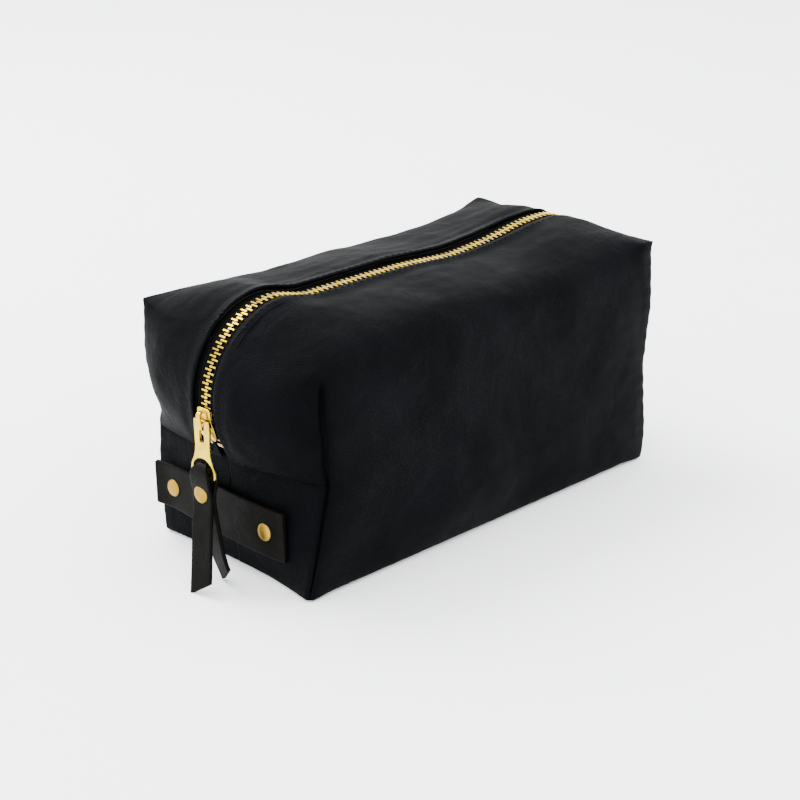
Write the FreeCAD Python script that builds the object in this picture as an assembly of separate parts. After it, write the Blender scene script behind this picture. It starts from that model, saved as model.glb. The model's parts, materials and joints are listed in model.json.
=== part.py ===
# Shaving kit bag: a boxed canvas pouch that closes with one metal zip over the top.
# X runs across the width, Y along the length (front end at -Y), Z up.
# The origin is the centre of the base, on the surface the bag stands on.
import FreeCAD, Part
import math
import os

V = FreeCAD.Vector

# ---- overall sizes (mm)
BASE_HALF_LENGTH = 110.0    # base corner to the centre
BASE_HALF_WIDTH = 53.0
SIDE_HALF_WIDTH = 58.0      # widest part of the side walls
TOP_HALF_WIDTH = 55.0       # at the top edges
CORNER_Y = 114.0            # the four upright seams
CROWN_Z = 126.6             # top surface along the zip
TOP_EDGE_Z = CROWN_Z - 6.1  # top edge at the side walls
SEAM_Z = 54.0               # end seam between the lower and upper panels
BEND_RADIUS = 42.6          # how tightly the top rolls over into each end
BEND_Y = 86.0               # centre of that roll, at +Y and -Y
BEND_Z = CROWN_Z - BEND_RADIUS
SHOULDER_Z = SEAM_Z + 3.2   # the roll starts just above the end seam

# ---- fabric layers, each as a depth below the outer surface
CANVAS = 1.2
TAPE = 0.6
LINING = 0.6
BINDING = 1.2
LAYER_AIR = 0.05            # air between two layers of cloth
TAPE_TOP = CANVAS + LAYER_AIR
LINING_TOP = TAPE_TOP + TAPE + LAYER_AIR
BINDING_TOP = LINING_TOP + LINING + LAYER_AIR
PANEL_GAP = 0.3             # open line between lower and upper panels
SLOT_HALF = 5.6             # canvas edge to the zip's centre line
LINING_SLOT_HALF = 7.0
TAPE_HALF = 13.0
TAPE_EDGE = 1.05            # beaded edge held in the teeth

# ---- zip chain
TOOTH_PITCH = 3.1
TOOTH_LENGTH = 1.2          # along the chain
TOOTH_ROOT = 3.0            # half the width of the closed chain
TOOTH_HEAD = 0.9            # how far a head reaches past the centre line
TOOTH_NECK = 1.0
TOOTH_TOP = BEND_RADIUS - 0.1       # radius of the tooth faces round the bend
TOOTH_BOTTOM = BEND_RADIUS - 2.9
TAPE_OUT = BEND_RADIUS - TAPE_TOP
TAPE_IN = TAPE_OUT - TAPE
CHAIN_RADIUS = 0.5 * (TAPE_OUT + TAPE_IN)
ROW_SPREAD = 1.9            # sideways shift of each row past the slider's wedge

# ---- slider, set on the front bend; angles run from +Y up through +Z
SLIDER_ANGLE = 192.0
SLIDER_LENGTH = 16.4
SLIDER_WIDE = 5.2
SLIDER_NARROW = 4.3
PLATE = 1.2
PLATE_GAP = 0.35
CROWN_WIDTH = 2.6
CROWN_GAP = 2.35
CROWN_THICK = 1.2
STOP_ANGLE = 206.2          # front stops, just past the slider
REAR_STOP_ANGLE = 209.0     # the same way round, at the rear end
STOP_AIR = 0.3              # round the tape in each stop

# ---- pull and strap
PULL_THICK = 1.6
PULL_BAR_RADIUS = BEND_RADIUS + 2.7  # hinge bar, measured from the centre of the bend
PULL_BAR_ANGLE = 188.9
PULL_REACH = 24.2           # hinge bar to ring bar
PULL_TILT = 5.0             # hangs this far off plumb (degrees)
PULL_TOP_HALF = 5.2
PULL_WAIST_HALF = 4.8
RING_HALF = 8.2
RING_BAR = 2.0
STRAP_WIDTH = 12.7
STRAP_THICK = 2.0
STRAP_SLACK = 0.4           # leather to ring bar
STRAP_NECK = 9.5            # ring bar down to the rivet, where the two layers meet
STRAP_FRONT_OUT = 9.0       # how far the front tail stands off at its tip
STRAP_REAR_OUT = 3.0
STRAP_LENGTH = 52.0

# ---- leather end strip and rivets
STRIP_LENGTH = 95.0
STRIP_X = -7.0              # middle of the strip, a little off centre
STRIP_WIDTH = 25.4
STRIP_THICK = 2.4
STRIP_Z = 26.5
RIVET_X = 32.5              # each rivet from the middle of the strip
RIVET_RADIUS = 4.5
RIVET_HEIGHT = 1.6
POST_RADIUS = 1.5

OVER = 400.0                # longer than the bag in every direction

os.makedirs("parts", exist_ok=True)


def save(shape, node):
    """Write one named piece."""
    shape.exportStep("parts/" + node + ".step")


def block(x0, x1, y0, y1, z0, z1):
    """A box between two corners."""
    return Part.makeBox(x1 - x0, y1 - y0, z1 - z0, V(x0, y0, z0))


def arc(a, b, c):
    """An arc from a to c through b."""
    return Part.Arc(a, b, c).toShape()


def line(a, b):
    """A straight edge."""
    return Part.LineSegment(a, b).toShape()


def mirrored(right):
    """The left-hand copy of a right-hand piece."""
    return right.mirror(V(0, 0, 0), V(1, 0, 0))


# ---- the outer form: three outlines, each pushed through the others

def shoulder():
    """Where the leaning front end meets the roll of the top, as y and z."""
    drop = min(0.87, (BEND_Z - SHOULDER_Z) / BEND_RADIUS)
    start = math.pi + math.asin(drop)
    return -BEND_Y + BEND_RADIUS * math.cos(start), BEND_Z + BEND_RADIUS * math.sin(start)


def side_outline():
    """The bag from the side: flat base, leaning ends, rolled shoulders, flat top."""
    y_low, z_low = shoulder()
    y_mid = -BEND_Y - BEND_RADIUS * math.cos(math.radians(25.0))
    z_mid = BEND_Z + BEND_RADIUS * math.sin(math.radians(25.0))
    base_front = V(0, -BASE_HALF_LENGTH, 0)
    base_rear = V(0, BASE_HALF_LENGTH, 0)
    edges = [
        line(base_rear, base_front),
        line(base_front, V(0, y_low, z_low)),
        arc(V(0, y_low, z_low), V(0, y_mid, z_mid), V(0, -BEND_Y, CROWN_Z)),
        line(V(0, -BEND_Y, CROWN_Z), V(0, BEND_Y, CROWN_Z)),
        arc(V(0, BEND_Y, CROWN_Z), V(0, -y_mid, z_mid), V(0, -y_low, z_low)),
        line(V(0, -y_low, z_low), base_rear),
    ]
    return Part.Face(Part.Wire(edges))


def end_outline():
    """The bag from one end: bulging sides, soft top corners, a low crown."""
    flat = TAPE_HALF + 1.0
    corner_low = V(TOP_HALF_WIDTH, 0, TOP_EDGE_Z - 5.0)
    corner_mid = V(TOP_HALF_WIDTH - 1.4, 0, TOP_EDGE_Z - 1.4)
    corner_top = V(TOP_HALF_WIDTH - 5.0, 0, TOP_EDGE_Z)
    base = V(BASE_HALF_WIDTH, 0, 0)
    bulge = V(SIDE_HALF_WIDTH, 0, SEAM_Z + 4.0)
    crown_mid = V(0.5 * (TOP_HALF_WIDTH + flat), 0, 0.35 * TOP_EDGE_Z + 0.65 * CROWN_Z)
    crown = V(flat, 0, CROWN_Z)

    def other(p):
        return V(-p.x, p.y, p.z)

    edges = [
        line(other(base), base),
        arc(base, bulge, corner_low),
        arc(corner_low, corner_mid, corner_top),
        arc(corner_top, crown_mid, crown),
        line(crown, other(crown)),
        arc(other(crown), other(crown_mid), other(corner_top)),
        arc(other(corner_top), other(corner_mid), other(corner_low)),
        arc(other(corner_low), other(bulge), other(base)),
    ]
    return Part.Face(Part.Wire(edges))


def plan_outline():
    """The bag from above: ends that swell between the four upright seams."""
    flat = TAPE_HALF + 1.0
    end_y = BEND_Y + BEND_RADIUS
    corner = V(TOP_HALF_WIDTH - 0.5, CORNER_Y, 0)
    end_mid = V(0.5 * (TOP_HALF_WIDTH + flat), CORNER_Y + 0.68 * (end_y - CORNER_Y), 0)
    end_flat = V(flat, end_y, 0)
    side = V(SIDE_HALF_WIDTH + 1.0, 0, 0)

    def at(p, sx, sy):
        return V(sx * p.x, sy * p.y, 0)

    edges = [
        arc(at(corner, 1, -1), side, at(corner, 1, 1)),
        arc(at(corner, 1, 1), at(end_mid, 1, 1), at(end_flat, 1, 1)),
        line(at(end_flat, 1, 1), at(end_flat, -1, 1)),
        arc(at(end_flat, -1, 1), at(end_mid, -1, 1), at(corner, -1, 1)),
        arc(at(corner, -1, 1), at(side, -1, 1), at(corner, -1, -1)),
        arc(at(corner, -1, -1), at(end_mid, -1, -1), at(end_flat, -1, -1)),
        line(at(end_flat, -1, -1), at(end_flat, 1, -1)),
        arc(at(end_flat, 1, -1), at(end_mid, 1, -1), at(corner, 1, -1)),
    ]
    return Part.Face(Part.Wire(edges))


def pushed(face, inset, direction):
    """An outline drawn in by inset, then pushed right through the bag."""
    if inset > 0:
        face = face.makeOffset2D(-inset, 2)
    face.translate(direction * (-0.5 * OVER))
    return face.extrude(direction * OVER)


def form(inset):
    """The solid inside the bag's surface, drawn in by inset all round."""
    body = pushed(side_outline(), inset, V(1, 0, 0))
    body = body.common(pushed(end_outline(), inset, V(0, 1, 0)))
    return body.common(pushed(plan_outline(), inset, V(0, 0, 1)))


def layer(top, thickness):
    """A closed layer of cloth between two depths."""
    return form(top).cut(form(top + thickness))


# ---- cloth panels

def lower_half(shape):
    """The right half of a layer below the end seams."""
    return shape.common(block(0.0, OVER, -OVER, OVER, -1.0, SEAM_Z - 0.5 * PANEL_GAP))


def upper_half(shape, slot):
    """The right half above the end seams, stopping at the zip slot."""
    return shape.common(block(slot, OVER, -OVER, OVER, SEAM_Z + 0.5 * PANEL_GAP, OVER))


def save_pair(right, kind, level):
    """Save a right-hand piece and its mirror image."""
    save(right, kind + "_right" + level)
    save(mirrored(right), kind + "_left" + level)


def cloth_panels():
    """Canvas and lining, each as a left and right half below and above the seams."""
    holes = on_end_panel(strip_posts())
    canvas = layer(0.0, CANVAS)
    lining = layer(LINING_TOP, LINING)
    for kind, cloth, slot in (("canvas", canvas, SLOT_HALF), ("lining", lining, LINING_SLOT_HALF)):
        lower = lower_half(cloth)
        save(lower.cut(holes), kind + "_right_lower")
        save(mirrored(lower).cut(holes), kind + "_left_lower")
        save_pair(upper_half(cloth, slot), kind, "_upper")


def seam_bindings():
    """Bound seam edges inside: both ends, four corners (low and high) and the base."""
    shell = layer(BINDING_TOP, BINDING)
    low_top = SEAM_Z - 0.5 * PANEL_GAP
    high_bottom = SEAM_Z + 0.5 * PANEL_GAP
    for end, sy in (("front", -1), ("rear", 1)):
        y0, y1 = sorted((sy * 100.0, sy * OVER))
        strip = shell.common(block(-44.0, 44.0, y0, y1, low_top - 7.0, low_top))
        save(strip, "end_binding_" + end)
        ya, yb = sorted((sy * 104.0, sy * OVER))
        low_bottom = BINDING_TOP + BINDING + 1.0
        low = shell.common(block(46.0, OVER, ya, yb, low_bottom, low_top))
        high = shell.common(block(46.0, OVER, ya, yb, high_bottom, 108.0))
        save_pair(low, "corner_binding_" + end, "_lower")
        save_pair(high, "corner_binding_" + end, "_upper")
    base = shell.common(block(-5.0, 5.0, -104.0, 104.0, 0.0, 12.0))
    save(base, "base_seam_binding")


# ---- zip

def bend_point(radius, angle, x=0.0):
    """A point round the front bend."""
    a = math.radians(angle)
    return V(x, -BEND_Y + radius * math.cos(a), BEND_Z + radius * math.sin(a))


def sector(r0, r1, a0, a1, x0, x1):
    """A curved slab round the front bend, between two radii and two angles."""
    mid = 0.5 * (a0 + a1)
    edges = [
        arc(bend_point(r0, a0, x0), bend_point(r0, mid, x0), bend_point(r0, a1, x0)),
        line(bend_point(r0, a1, x0), bend_point(r1, a1, x0)),
        arc(bend_point(r1, a1, x0), bend_point(r1, mid, x0), bend_point(r1, a0, x0)),
        line(bend_point(r1, a0, x0), bend_point(r0, a0, x0)),
    ]
    return Part.Face(Part.Wire(edges)).extrude(V(x1 - x0, 0, 0))


def zip_tape():
    """The right woven tape, from the front seam over the top to the rear seam."""
    tape = layer(TAPE_TOP, TAPE)
    z0 = SEAM_Z + 0.5 * PANEL_GAP
    tape = tape.common(block(TAPE_EDGE, TAPE_HALF, -OVER, OVER, z0, OVER))
    wedge = SLIDER_ANGLE + 1.0
    return tape.cut(sector(TAPE_IN - 2.0, TAPE_OUT + 2.0, wedge, 224.0, 0.0, TOOTH_ROOT))


def tooth(side, shift):
    """One tooth at the start of the flat top: two legs on the tape and a head."""
    y0 = -0.5 * TOOTH_LENGTH - BEND_Y
    y1 = 0.5 * TOOTH_LENGTH - BEND_Y
    z_top = BEND_Z + TOOTH_TOP
    z_low = BEND_Z + TOOTH_BOTTOM
    head = block(-TOOTH_HEAD, TOOTH_NECK, y0, y1, z_low, z_top)
    upper = block(TOOTH_NECK, TOOTH_ROOT, y0, y1, BEND_Z + TAPE_OUT + LAYER_AIR, z_top)
    lower = block(TOOTH_NECK, TOOTH_ROOT, y0, y1, z_low, BEND_Z + TAPE_IN - LAYER_AIR)
    shape = head.fuse([upper, lower]).removeSplitter()
    shape.translate(V(shift, 0, 0))
    return mirrored(shape) if side < 0 else shape


def row_spread(angle):
    """How far a row is pushed out sideways by the wedge in the slider."""
    start = SLIDER_ANGLE + 1.0
    if angle <= start:
        return 0.0
    return min(1.0, (angle - start) / 4.0) * ROW_SPREAD


def zip_row(side):
    """All the teeth of one row, from the front stop to the rear stop."""
    step = math.degrees(TOOTH_PITCH / CHAIN_RADIUS)
    offset = 0.5 if side < 0 else 0.0
    arc_length = math.radians(90.0) * CHAIN_RADIUS
    flat = 2.0 * BEND_Y
    first = STOP_ANGLE - 1.0 - offset * step
    turned = math.radians(first - 90.0) * CHAIN_RADIUS
    total = turned + flat + arc_length + math.radians(24.0) * CHAIN_RADIUS
    teeth = []
    for i in range(int(total / TOOTH_PITCH)):
        s = (i + 0.5) * TOOTH_PITCH
        if s < turned:
            angle = first - math.degrees(s / CHAIN_RADIUS)
            spread = row_spread(angle)
            shift = TOOTH_HEAD + 0.1 + spread - 1.0 if spread > 0 else 0.0
            piece = tooth(side, shift)
            piece.rotate(V(0, -BEND_Y, BEND_Z), V(1, 0, 0), angle - 90.0)
        elif s < turned + flat:
            piece = tooth(side, 0.0)
            piece.translate(V(0, s - turned, 0))
        else:
            angle = math.degrees((s - turned - flat) / CHAIN_RADIUS)
            piece = tooth(side, 0.0)
            piece.translate(V(0, flat, 0))
            piece.rotate(V(0, BEND_Y, BEND_Z), V(1, 0, 0), -angle)
        teeth.append(piece)
    return Part.makeCompound(teeth)


def clamp(x_in, x_edge, x_out, a0, a1):
    """A crimped block round the right tape edge: solid up to x_edge, then two legs."""
    shape = sector(TOOTH_BOTTOM, TOOTH_TOP, a0, a1, x_in, x_out)
    r0 = TAPE_IN - STOP_AIR
    r1 = TAPE_OUT + STOP_AIR
    return shape.cut(sector(r0, r1, a0 - 1.0, a1 + 1.0, x_edge, x_out + 1.0))


def front_stop():
    """The crimped stop at the closed end of the right row."""
    return clamp(2.0, TOOTH_ROOT - STOP_AIR, 5.2, STOP_ANGLE, STOP_ANGLE + 2.6)


def rear_stop():
    """The stop that ties the two rows together at the rear end."""
    right = clamp(0.0, TAPE_EDGE - STOP_AIR, 3.6, REAR_STOP_ANGLE, REAR_STOP_ANGLE + 3.5)
    both = right.fuse(mirrored(right)).removeSplitter()
    return both.mirror(V(0, 0, 0), V(0, 1, 0))


def zip_chain():
    """Tapes, teeth and stops."""
    save_pair(zip_tape(), "zip_tape", "")
    for name, side in (("left", -1), ("right", 1)):
        save(zip_row(side), "zip_teeth_" + name)
    save_pair(front_stop(), "front_stop", "")
    save(rear_stop(), "rear_stop")


# ---- slider

def slider_body():
    """Two plates joined by a wedge, with side flanges over the closed teeth."""
    half = math.degrees(0.5 * SLIDER_LENGTH / TOOTH_TOP)
    a0 = SLIDER_ANGLE - half
    a1 = SLIDER_ANGLE + half
    top_in = TOOTH_TOP + PLATE_GAP
    low_out = TOOTH_BOTTOM - PLATE_GAP
    upper = sector(top_in, top_in + PLATE, a0, a1, -SLIDER_WIDE, SLIDER_WIDE)
    lower = sector(low_out - PLATE, low_out, a0, a1, -SLIDER_WIDE, SLIDER_WIDE)
    wedge = sector(low_out, top_in, SLIDER_ANGLE + 5.6, a1 - 0.8, -0.7, 0.7)
    parts = [lower, wedge]
    for side in (-1, 1):
        x0, x1 = sorted((side * (TOOTH_ROOT + 0.4), side * SLIDER_NARROW))
        parts.append(sector(TAPE_OUT + PLATE_GAP, top_in, a0, SLIDER_ANGLE - 1.0, x0, x1))
        parts.append(sector(low_out, TAPE_IN - PLATE_GAP, a0, SLIDER_ANGLE - 1.0, x0, x1))
    body = upper.fuse(parts)
    for side in (-1, 1):
        x0, x1 = sorted((side * SLIDER_NARROW, side * OVER))
        r0 = BEND_RADIUS - 12.0
        r1 = BEND_RADIUS + 12.0
        body = body.cut(sector(r0, r1, a0 - 5.0, SLIDER_ANGLE - 3.0, x0, x1))
    return body.removeSplitter()


def slider_crown():
    """The bridge on the slider that the pull hangs from."""
    foot = TOOTH_TOP + PLATE_GAP + PLATE
    roof = foot + CROWN_GAP
    half = 0.5 * CROWN_WIDTH
    a0, a1 = SLIDER_ANGLE - 9.8, SLIDER_ANGLE + 2.4
    bar = sector(roof, roof + CROWN_THICK, a0, a1, -half, half)
    first = sector(foot, roof, a0, a0 + 2.0, -half, half)
    last = sector(foot, roof, a1 - 2.0, a1, -half, half)
    return bar.fuse([first, last]).removeSplitter()


def lock_spring():
    """The thin leaf spring under the bridge that grips the teeth when the pull is down."""
    foot = TOOTH_TOP + PLATE_GAP + PLATE
    a0, a1 = SLIDER_ANGLE + 3.0, SLIDER_ANGLE + 9.0
    return sector(foot, foot + 0.5, a0, a1, -0.9, 0.9)


# ---- pull and strap

def pull_frame():
    """Hinge bar and ring bar centres, and the down direction of the pull."""
    top = bend_point(PULL_BAR_RADIUS, PULL_BAR_ANGLE)
    tilt = math.radians(PULL_TILT)
    down = V(0, -math.sin(tilt), -math.cos(tilt))
    return top, top + down * PULL_REACH, down


def hang(shape, top):
    """Turn a pull drawn hanging straight down from the origin into place."""
    shape.rotate(V(0, 0, 0), V(1, 0, 0), -PULL_TILT)
    shape.translate(top)
    return shape


def pull_tab():
    """Flat pull: slotted top round the bridge, waist, and a wide ring for the strap."""
    top, ring, down = pull_frame()
    t = 0.5 * PULL_THICK
    bottom = PULL_REACH + 0.5 * RING_BAR
    right = [
        V(PULL_TOP_HALF, -t, 0.0),
        V(PULL_TOP_HALF, -t, -1.5),
        V(PULL_WAIST_HALF, -t, -11.0),
        V(PULL_WAIST_HALF + 0.8, -t, -15.5),
        V(RING_HALF, -t, -20.5),
        V(RING_HALF, -t, -bottom),
    ]
    left = [V(-p.x, p.y, p.z) for p in reversed(right)]
    plate = Part.Face(Part.makePolygon(right + left + [right[0]])).extrude(V(0, PULL_THICK, 0))
    slot = block(-1.65, 1.65, -3.0, 3.0, -9.6, -0.8)
    hole_half = 0.5 * STRAP_WIDTH + 0.35
    ring_top = -PULL_REACH + 0.5 * RING_BAR
    hole = block(-hole_half, hole_half, -3.0, 3.0, ring_top, ring_top + 2.9)
    arch = Part.makeCylinder(hole_half, 6.0, V(0, -3.0, ring_top + 2.9), V(0, 1, 0))
    arch = arch.common(block(-20, 20, -5, 5, ring_top + 2.9, ring_top + 5.4))
    bar_start = V(-PULL_TOP_HALF, 0, 0)
    bar = Part.makeCylinder(t, 2.0 * PULL_TOP_HALF, bar_start, V(1, 0, 0))
    plate = plate.fuse(bar).cut(slot.fuse([hole, arch]))
    return hang(plate.removeSplitter(), top)


def fold_radius():
    """Inside radius of the strap where it turns over the ring bar."""
    return 0.5 * math.hypot(RING_BAR, PULL_THICK) + STRAP_SLACK


def strap_tail(side, reach, length):
    """One tail of the strap: in from the fold to the rivet, then out to its tip."""
    half = 0.5 * STRAP_WIDTH
    near = 0.05
    far = near + STRAP_THICK
    inner = fold_radius()
    outline = [
        (inner, 0.2),
        (inner + STRAP_THICK, 0.2),
        (far, 2.0 - STRAP_NECK),
        (far, -2.0 - STRAP_NECK),
        (far + reach, -length),
        (near + reach, -length),
        (near, -2.0 - STRAP_NECK),
        (near, 2.0 - STRAP_NECK),
    ]
    corners = [V(-half, side * y, z) for y, z in outline]
    face = Part.Face(Part.makePolygon(corners + [corners[0]]))
    return face.extrude(V(STRAP_WIDTH, 0, 0))


def pull_strap():
    """Leather strap folded over the ring bar, pinched by the rivet, with two tails."""
    top, ring, down = pull_frame()
    inner = fold_radius()
    half = 0.5 * STRAP_WIDTH
    fold = Part.makeCylinder(inner + STRAP_THICK, STRAP_WIDTH, V(-half, 0, 0), V(1, 0, 0))
    fold = fold.cut(Part.makeCylinder(inner, STRAP_WIDTH + 2, V(-half - 1, 0, 0), V(1, 0, 0)))
    fold = fold.common(block(-20, 20, -20, 20, 0, 20))
    front = strap_tail(-1, STRAP_FRONT_OUT, STRAP_LENGTH)
    rear = strap_tail(1, STRAP_REAR_OUT, STRAP_LENGTH - 3.0)
    strap = fold.fuse([front, rear]).removeSplitter()
    strap.translate(ring)
    return strap


def domed_cap(start, direction, radius, height):
    """A rivet cap with a softened rim."""
    cap = Part.makeCylinder(radius, height, start, direction)
    rims = [e for e in cap.Edges if abs((e.CenterOfMass - start).dot(direction) - height) < 0.01]
    return cap.makeFillet(0.45 * height, rims)


def strap_rivet():
    """The rivet that closes the strap: front cap with its post, and the rear cap."""
    top, ring, down = pull_frame()
    face = 0.05 + STRAP_THICK
    z = ring.z - STRAP_NECK
    front = V(0, ring.y - face, z)
    rear = V(0, ring.y + face, z)
    cap = domed_cap(front, V(0, -1, 0), RIVET_RADIUS, RIVET_HEIGHT)
    post = Part.makeCylinder(POST_RADIUS, 2.0 * face, front, V(0, 1, 0))
    return cap.fuse(post).removeSplitter(), domed_cap(rear, V(0, 1, 0), RIVET_RADIUS - 0.5, 1.0)


# ---- end strip

def strip_frame():
    """Place a flat piece on the leaning lower end panel."""
    y_low, z_low = shoulder()
    lean = math.degrees(math.atan2(-BASE_HALF_LENGTH - y_low, z_low))
    share = STRIP_Z / z_low
    y = -BASE_HALF_LENGTH + share * (y_low + BASE_HALF_LENGTH)
    return V(STRIP_X, y, STRIP_Z), lean


def on_end_panel(shape):
    """Turn and move a piece drawn on the plane y = 0, round the strip's middle."""
    spot, lean = strip_frame()
    shape.rotate(V(0, 0, 0), V(1, 0, 0), lean)
    shape.translate(spot)
    return shape


def end_strip():
    """The leather strip across the lower front end."""
    w = 0.5 * STRIP_WIDTH
    strip = block(-0.5 * STRIP_LENGTH, 0.5 * STRIP_LENGTH, -STRIP_THICK, 0, -w, w)
    return on_end_panel(strip.cut(strip_posts()))


def strip_posts():
    """The two rivet holes, in the strip's own plane."""
    posts = []
    for sx in (-1, 1):
        start = V(sx * RIVET_X, -STRIP_THICK - 1.0, 0)
        posts.append(Part.makeCylinder(POST_RADIUS, 12.0, start, V(0, 1, 0)))
    return Part.makeCompound(posts)


def strip_rivet(sx):
    """One strip rivet: domed cap and post through leather and cloth, and the cap inside."""
    front = V(sx * RIVET_X, -STRIP_THICK, 0)
    inside = V(sx * RIVET_X, BINDING_TOP, 0)
    cap = domed_cap(front, V(0, -1, 0), RIVET_RADIUS, RIVET_HEIGHT)
    post = Part.makeCylinder(POST_RADIUS, STRIP_THICK + BINDING_TOP, front, V(0, 1, 0))
    back = domed_cap(inside, V(0, 1, 0), RIVET_RADIUS - 0.5, 1.0)
    outside = cap.fuse(post).removeSplitter()
    return on_end_panel(outside), on_end_panel(back)


def hardware():
    """Slider, pull, strap, end strip and their rivets."""
    save(slider_body(), "slider_body")
    save(slider_crown(), "slider_crown")
    save(lock_spring(), "lock_spring")
    save(pull_tab(), "pull_tab")
    front, rear = strap_rivet()
    save(front, "strap_rivet_front")
    save(rear, "strap_rivet_rear")
    save(pull_strap().cut(front.fuse(rear)), "pull_strap")
    save(end_strip(), "end_strip")
    for name, sx in (("left", -1), ("right", 1)):
        outside, inside = strip_rivet(sx)
        save(outside, "strip_rivet_" + name)
        save(inside, "strip_rivet_back_" + name)


cloth_panels()
seam_bindings()
zip_chain()
hardware()
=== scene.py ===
# %% [markdown]
# # A waxed canvas shaving kit bag
# The bag is a soft box of heavy cotton canvas, closed by one brass zip that rolls over both
# ends. We start from the engineering model, which fixes every size and every moving body,
# and dress it with cloth, leather and metal that look and feel right.

# %% Load the frame
import json
import math
import bpy
import bmesh
import numpy as np
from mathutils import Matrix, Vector, noise
from mathutils.bvhtree import BVHTree


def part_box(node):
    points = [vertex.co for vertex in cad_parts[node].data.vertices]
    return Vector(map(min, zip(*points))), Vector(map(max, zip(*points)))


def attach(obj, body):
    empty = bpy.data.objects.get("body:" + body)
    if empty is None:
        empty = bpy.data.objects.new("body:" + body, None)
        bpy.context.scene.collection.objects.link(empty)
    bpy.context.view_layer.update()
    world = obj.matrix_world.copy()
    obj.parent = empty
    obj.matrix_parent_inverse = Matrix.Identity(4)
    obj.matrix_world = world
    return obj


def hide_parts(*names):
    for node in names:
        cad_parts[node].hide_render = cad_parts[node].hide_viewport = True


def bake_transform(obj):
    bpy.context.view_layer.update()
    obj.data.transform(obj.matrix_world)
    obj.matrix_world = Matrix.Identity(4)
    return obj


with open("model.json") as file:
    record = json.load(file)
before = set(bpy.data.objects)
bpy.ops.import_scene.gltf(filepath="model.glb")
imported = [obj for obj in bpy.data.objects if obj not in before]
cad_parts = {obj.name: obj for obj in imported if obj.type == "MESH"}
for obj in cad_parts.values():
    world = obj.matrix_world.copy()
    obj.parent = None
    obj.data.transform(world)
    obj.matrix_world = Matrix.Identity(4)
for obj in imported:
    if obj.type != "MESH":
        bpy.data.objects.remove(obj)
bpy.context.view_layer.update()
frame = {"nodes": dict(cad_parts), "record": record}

# %% [markdown]
# ## Sizes
# A maker works from a few sizes: how long, how wide, how tall, and where the seams run.
# They are read from the engineering parts, so the cloth always fits the hinges. We work in
# millimetres and turn them into metres only when a mesh is made.

# %% Main sizes in millimetres
MM = 0.001


def span(node, axis):
    """Lowest and highest coordinate of one engineering part, in millimetres."""
    low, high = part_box(node)
    return 1000 * low[axis], 1000 * high[axis]


crown_z = span("canvas_right_upper", 2)[1]
end_y = span("canvas_right_upper", 1)[1]
seam_z = 0.5 * (span("canvas_right_lower", 2)[1] + span("canvas_right_upper", 2)[0])
side_x = span("canvas_right_upper", 0)[1]
slot_x = span("canvas_right_upper", 0)[0]
bend_radius = 42.6
bend_y = end_y - bend_radius
bend_z = crown_z - bend_radius
corner_x = 54.5
print("crown", crown_z, "end", end_y, "seam", seam_z, "side", side_x, "slot", slot_x)

# %% [markdown]
# ## Small helpers for meshes
# Every soft or metal piece below is a list of points and faces. These helpers turn such a
# list into an object, cut grids into faces, and carry a texture map along, so that the weave
# runs the way the cloth was cut.

# %% Mesh helpers


def clamp(value):
    """Keep a value between 0 and 1."""
    return min(1.0, max(0.0, value))


def ease(value):
    """The same, with a soft start and a soft end."""
    value = clamp(value)
    return value * value * (3 - 2 * value)


def in_scene(name, data):
    """Put new mesh, lamp or camera data into the scene as an object."""
    obj = bpy.data.objects.new(name, data)
    bpy.context.collection.objects.link(obj)
    return obj


def new_object(name, points, faces, uvs=None, smooth=True):
    """Make an object from points in millimetres; uvs gives one pair per face corner."""
    mesh = bpy.data.meshes.new(name)
    mesh.from_pydata([Vector(p) * MM for p in points], [], [list(f) for f in faces])
    if uvs is not None:
        layer = mesh.uv_layers.new(name="cut")
        flat = [c for corner in uvs for c in corner]
        layer.data.foreach_set("uv", flat)
    for p in mesh.polygons:
        p.use_smooth = smooth
    mesh.update()
    return in_scene(name, mesh)


def move_points(obj, moved):
    """Put every point of a mesh at its new place."""
    for v, co in zip(obj.data.vertices, moved):
        v.co = co
    obj.data.update()


def edit_mesh(mesh, change):
    """Run one change on the loose points, edges and faces of a mesh."""
    bm = bmesh.new()
    bm.from_mesh(mesh)
    change(bm)
    bm.to_mesh(mesh)
    bm.free()


def face_outwards(obj):
    """Turn every face of a closed mesh outwards."""
    edit_mesh(obj.data, lambda bm: bmesh.ops.recalc_face_normals(bm, faces=bm.faces))
    return obj


def tube_faces(first, rings, m):
    """Faces of a closed tube made of rings of m points, from point number first on."""
    faces = []
    for ring in range(rings - 1):
        a = first + ring * m
        for k in range(m):
            q = (k + 1) % m
            faces.append([a + k, a + q, a + m + q, a + m + k])
    last = first + (rings - 1) * m
    faces.append([first + k for k in reversed(range(m))])
    faces.append([last + k for k in range(m)])
    return faces


def apply_modifier(obj, kind, **settings):
    """Add one modifier and bake it into the mesh."""
    mod = obj.modifiers.new(kind, kind)
    for key, value in settings.items():
        setattr(mod, key, value)
    deps = bpy.context.evaluated_depsgraph_get()
    mesh = bpy.data.meshes.new_from_object(obj.evaluated_get(deps))
    obj.modifiers.clear()
    obj.data = mesh
    return obj


def finish_piece(obj, body, material, slot, *nodes):
    """Give a piece its finish and body, and let it stand for engineering parts."""
    obj.data.materials.clear()
    obj.data.materials.append(material)
    if nodes:
        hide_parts(*nodes)
    if body:
        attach(obj, body)
    return obj


def smooth_curve(points, count):
    """Evenly spaced points along a smooth curve through a few given ones."""
    pts = np.array(points, float)
    ends = np.vstack([2 * pts[0] - pts[1], pts, 2 * pts[-1] - pts[-2]])
    fine = []
    for a, b, c, d in zip(ends, ends[1:], ends[2:], ends[3:]):
        for t in np.linspace(0, 1, 24, endpoint=False):
            fine.append(0.5 * (2 * b + (c - a) * t + (2 * a - 5 * b + 4 * c - d) * t * t
                               + (3 * b - a - 3 * c + d) * t ** 3))
    return resample(np.array(fine + [pts[-1]]), count)


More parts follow.
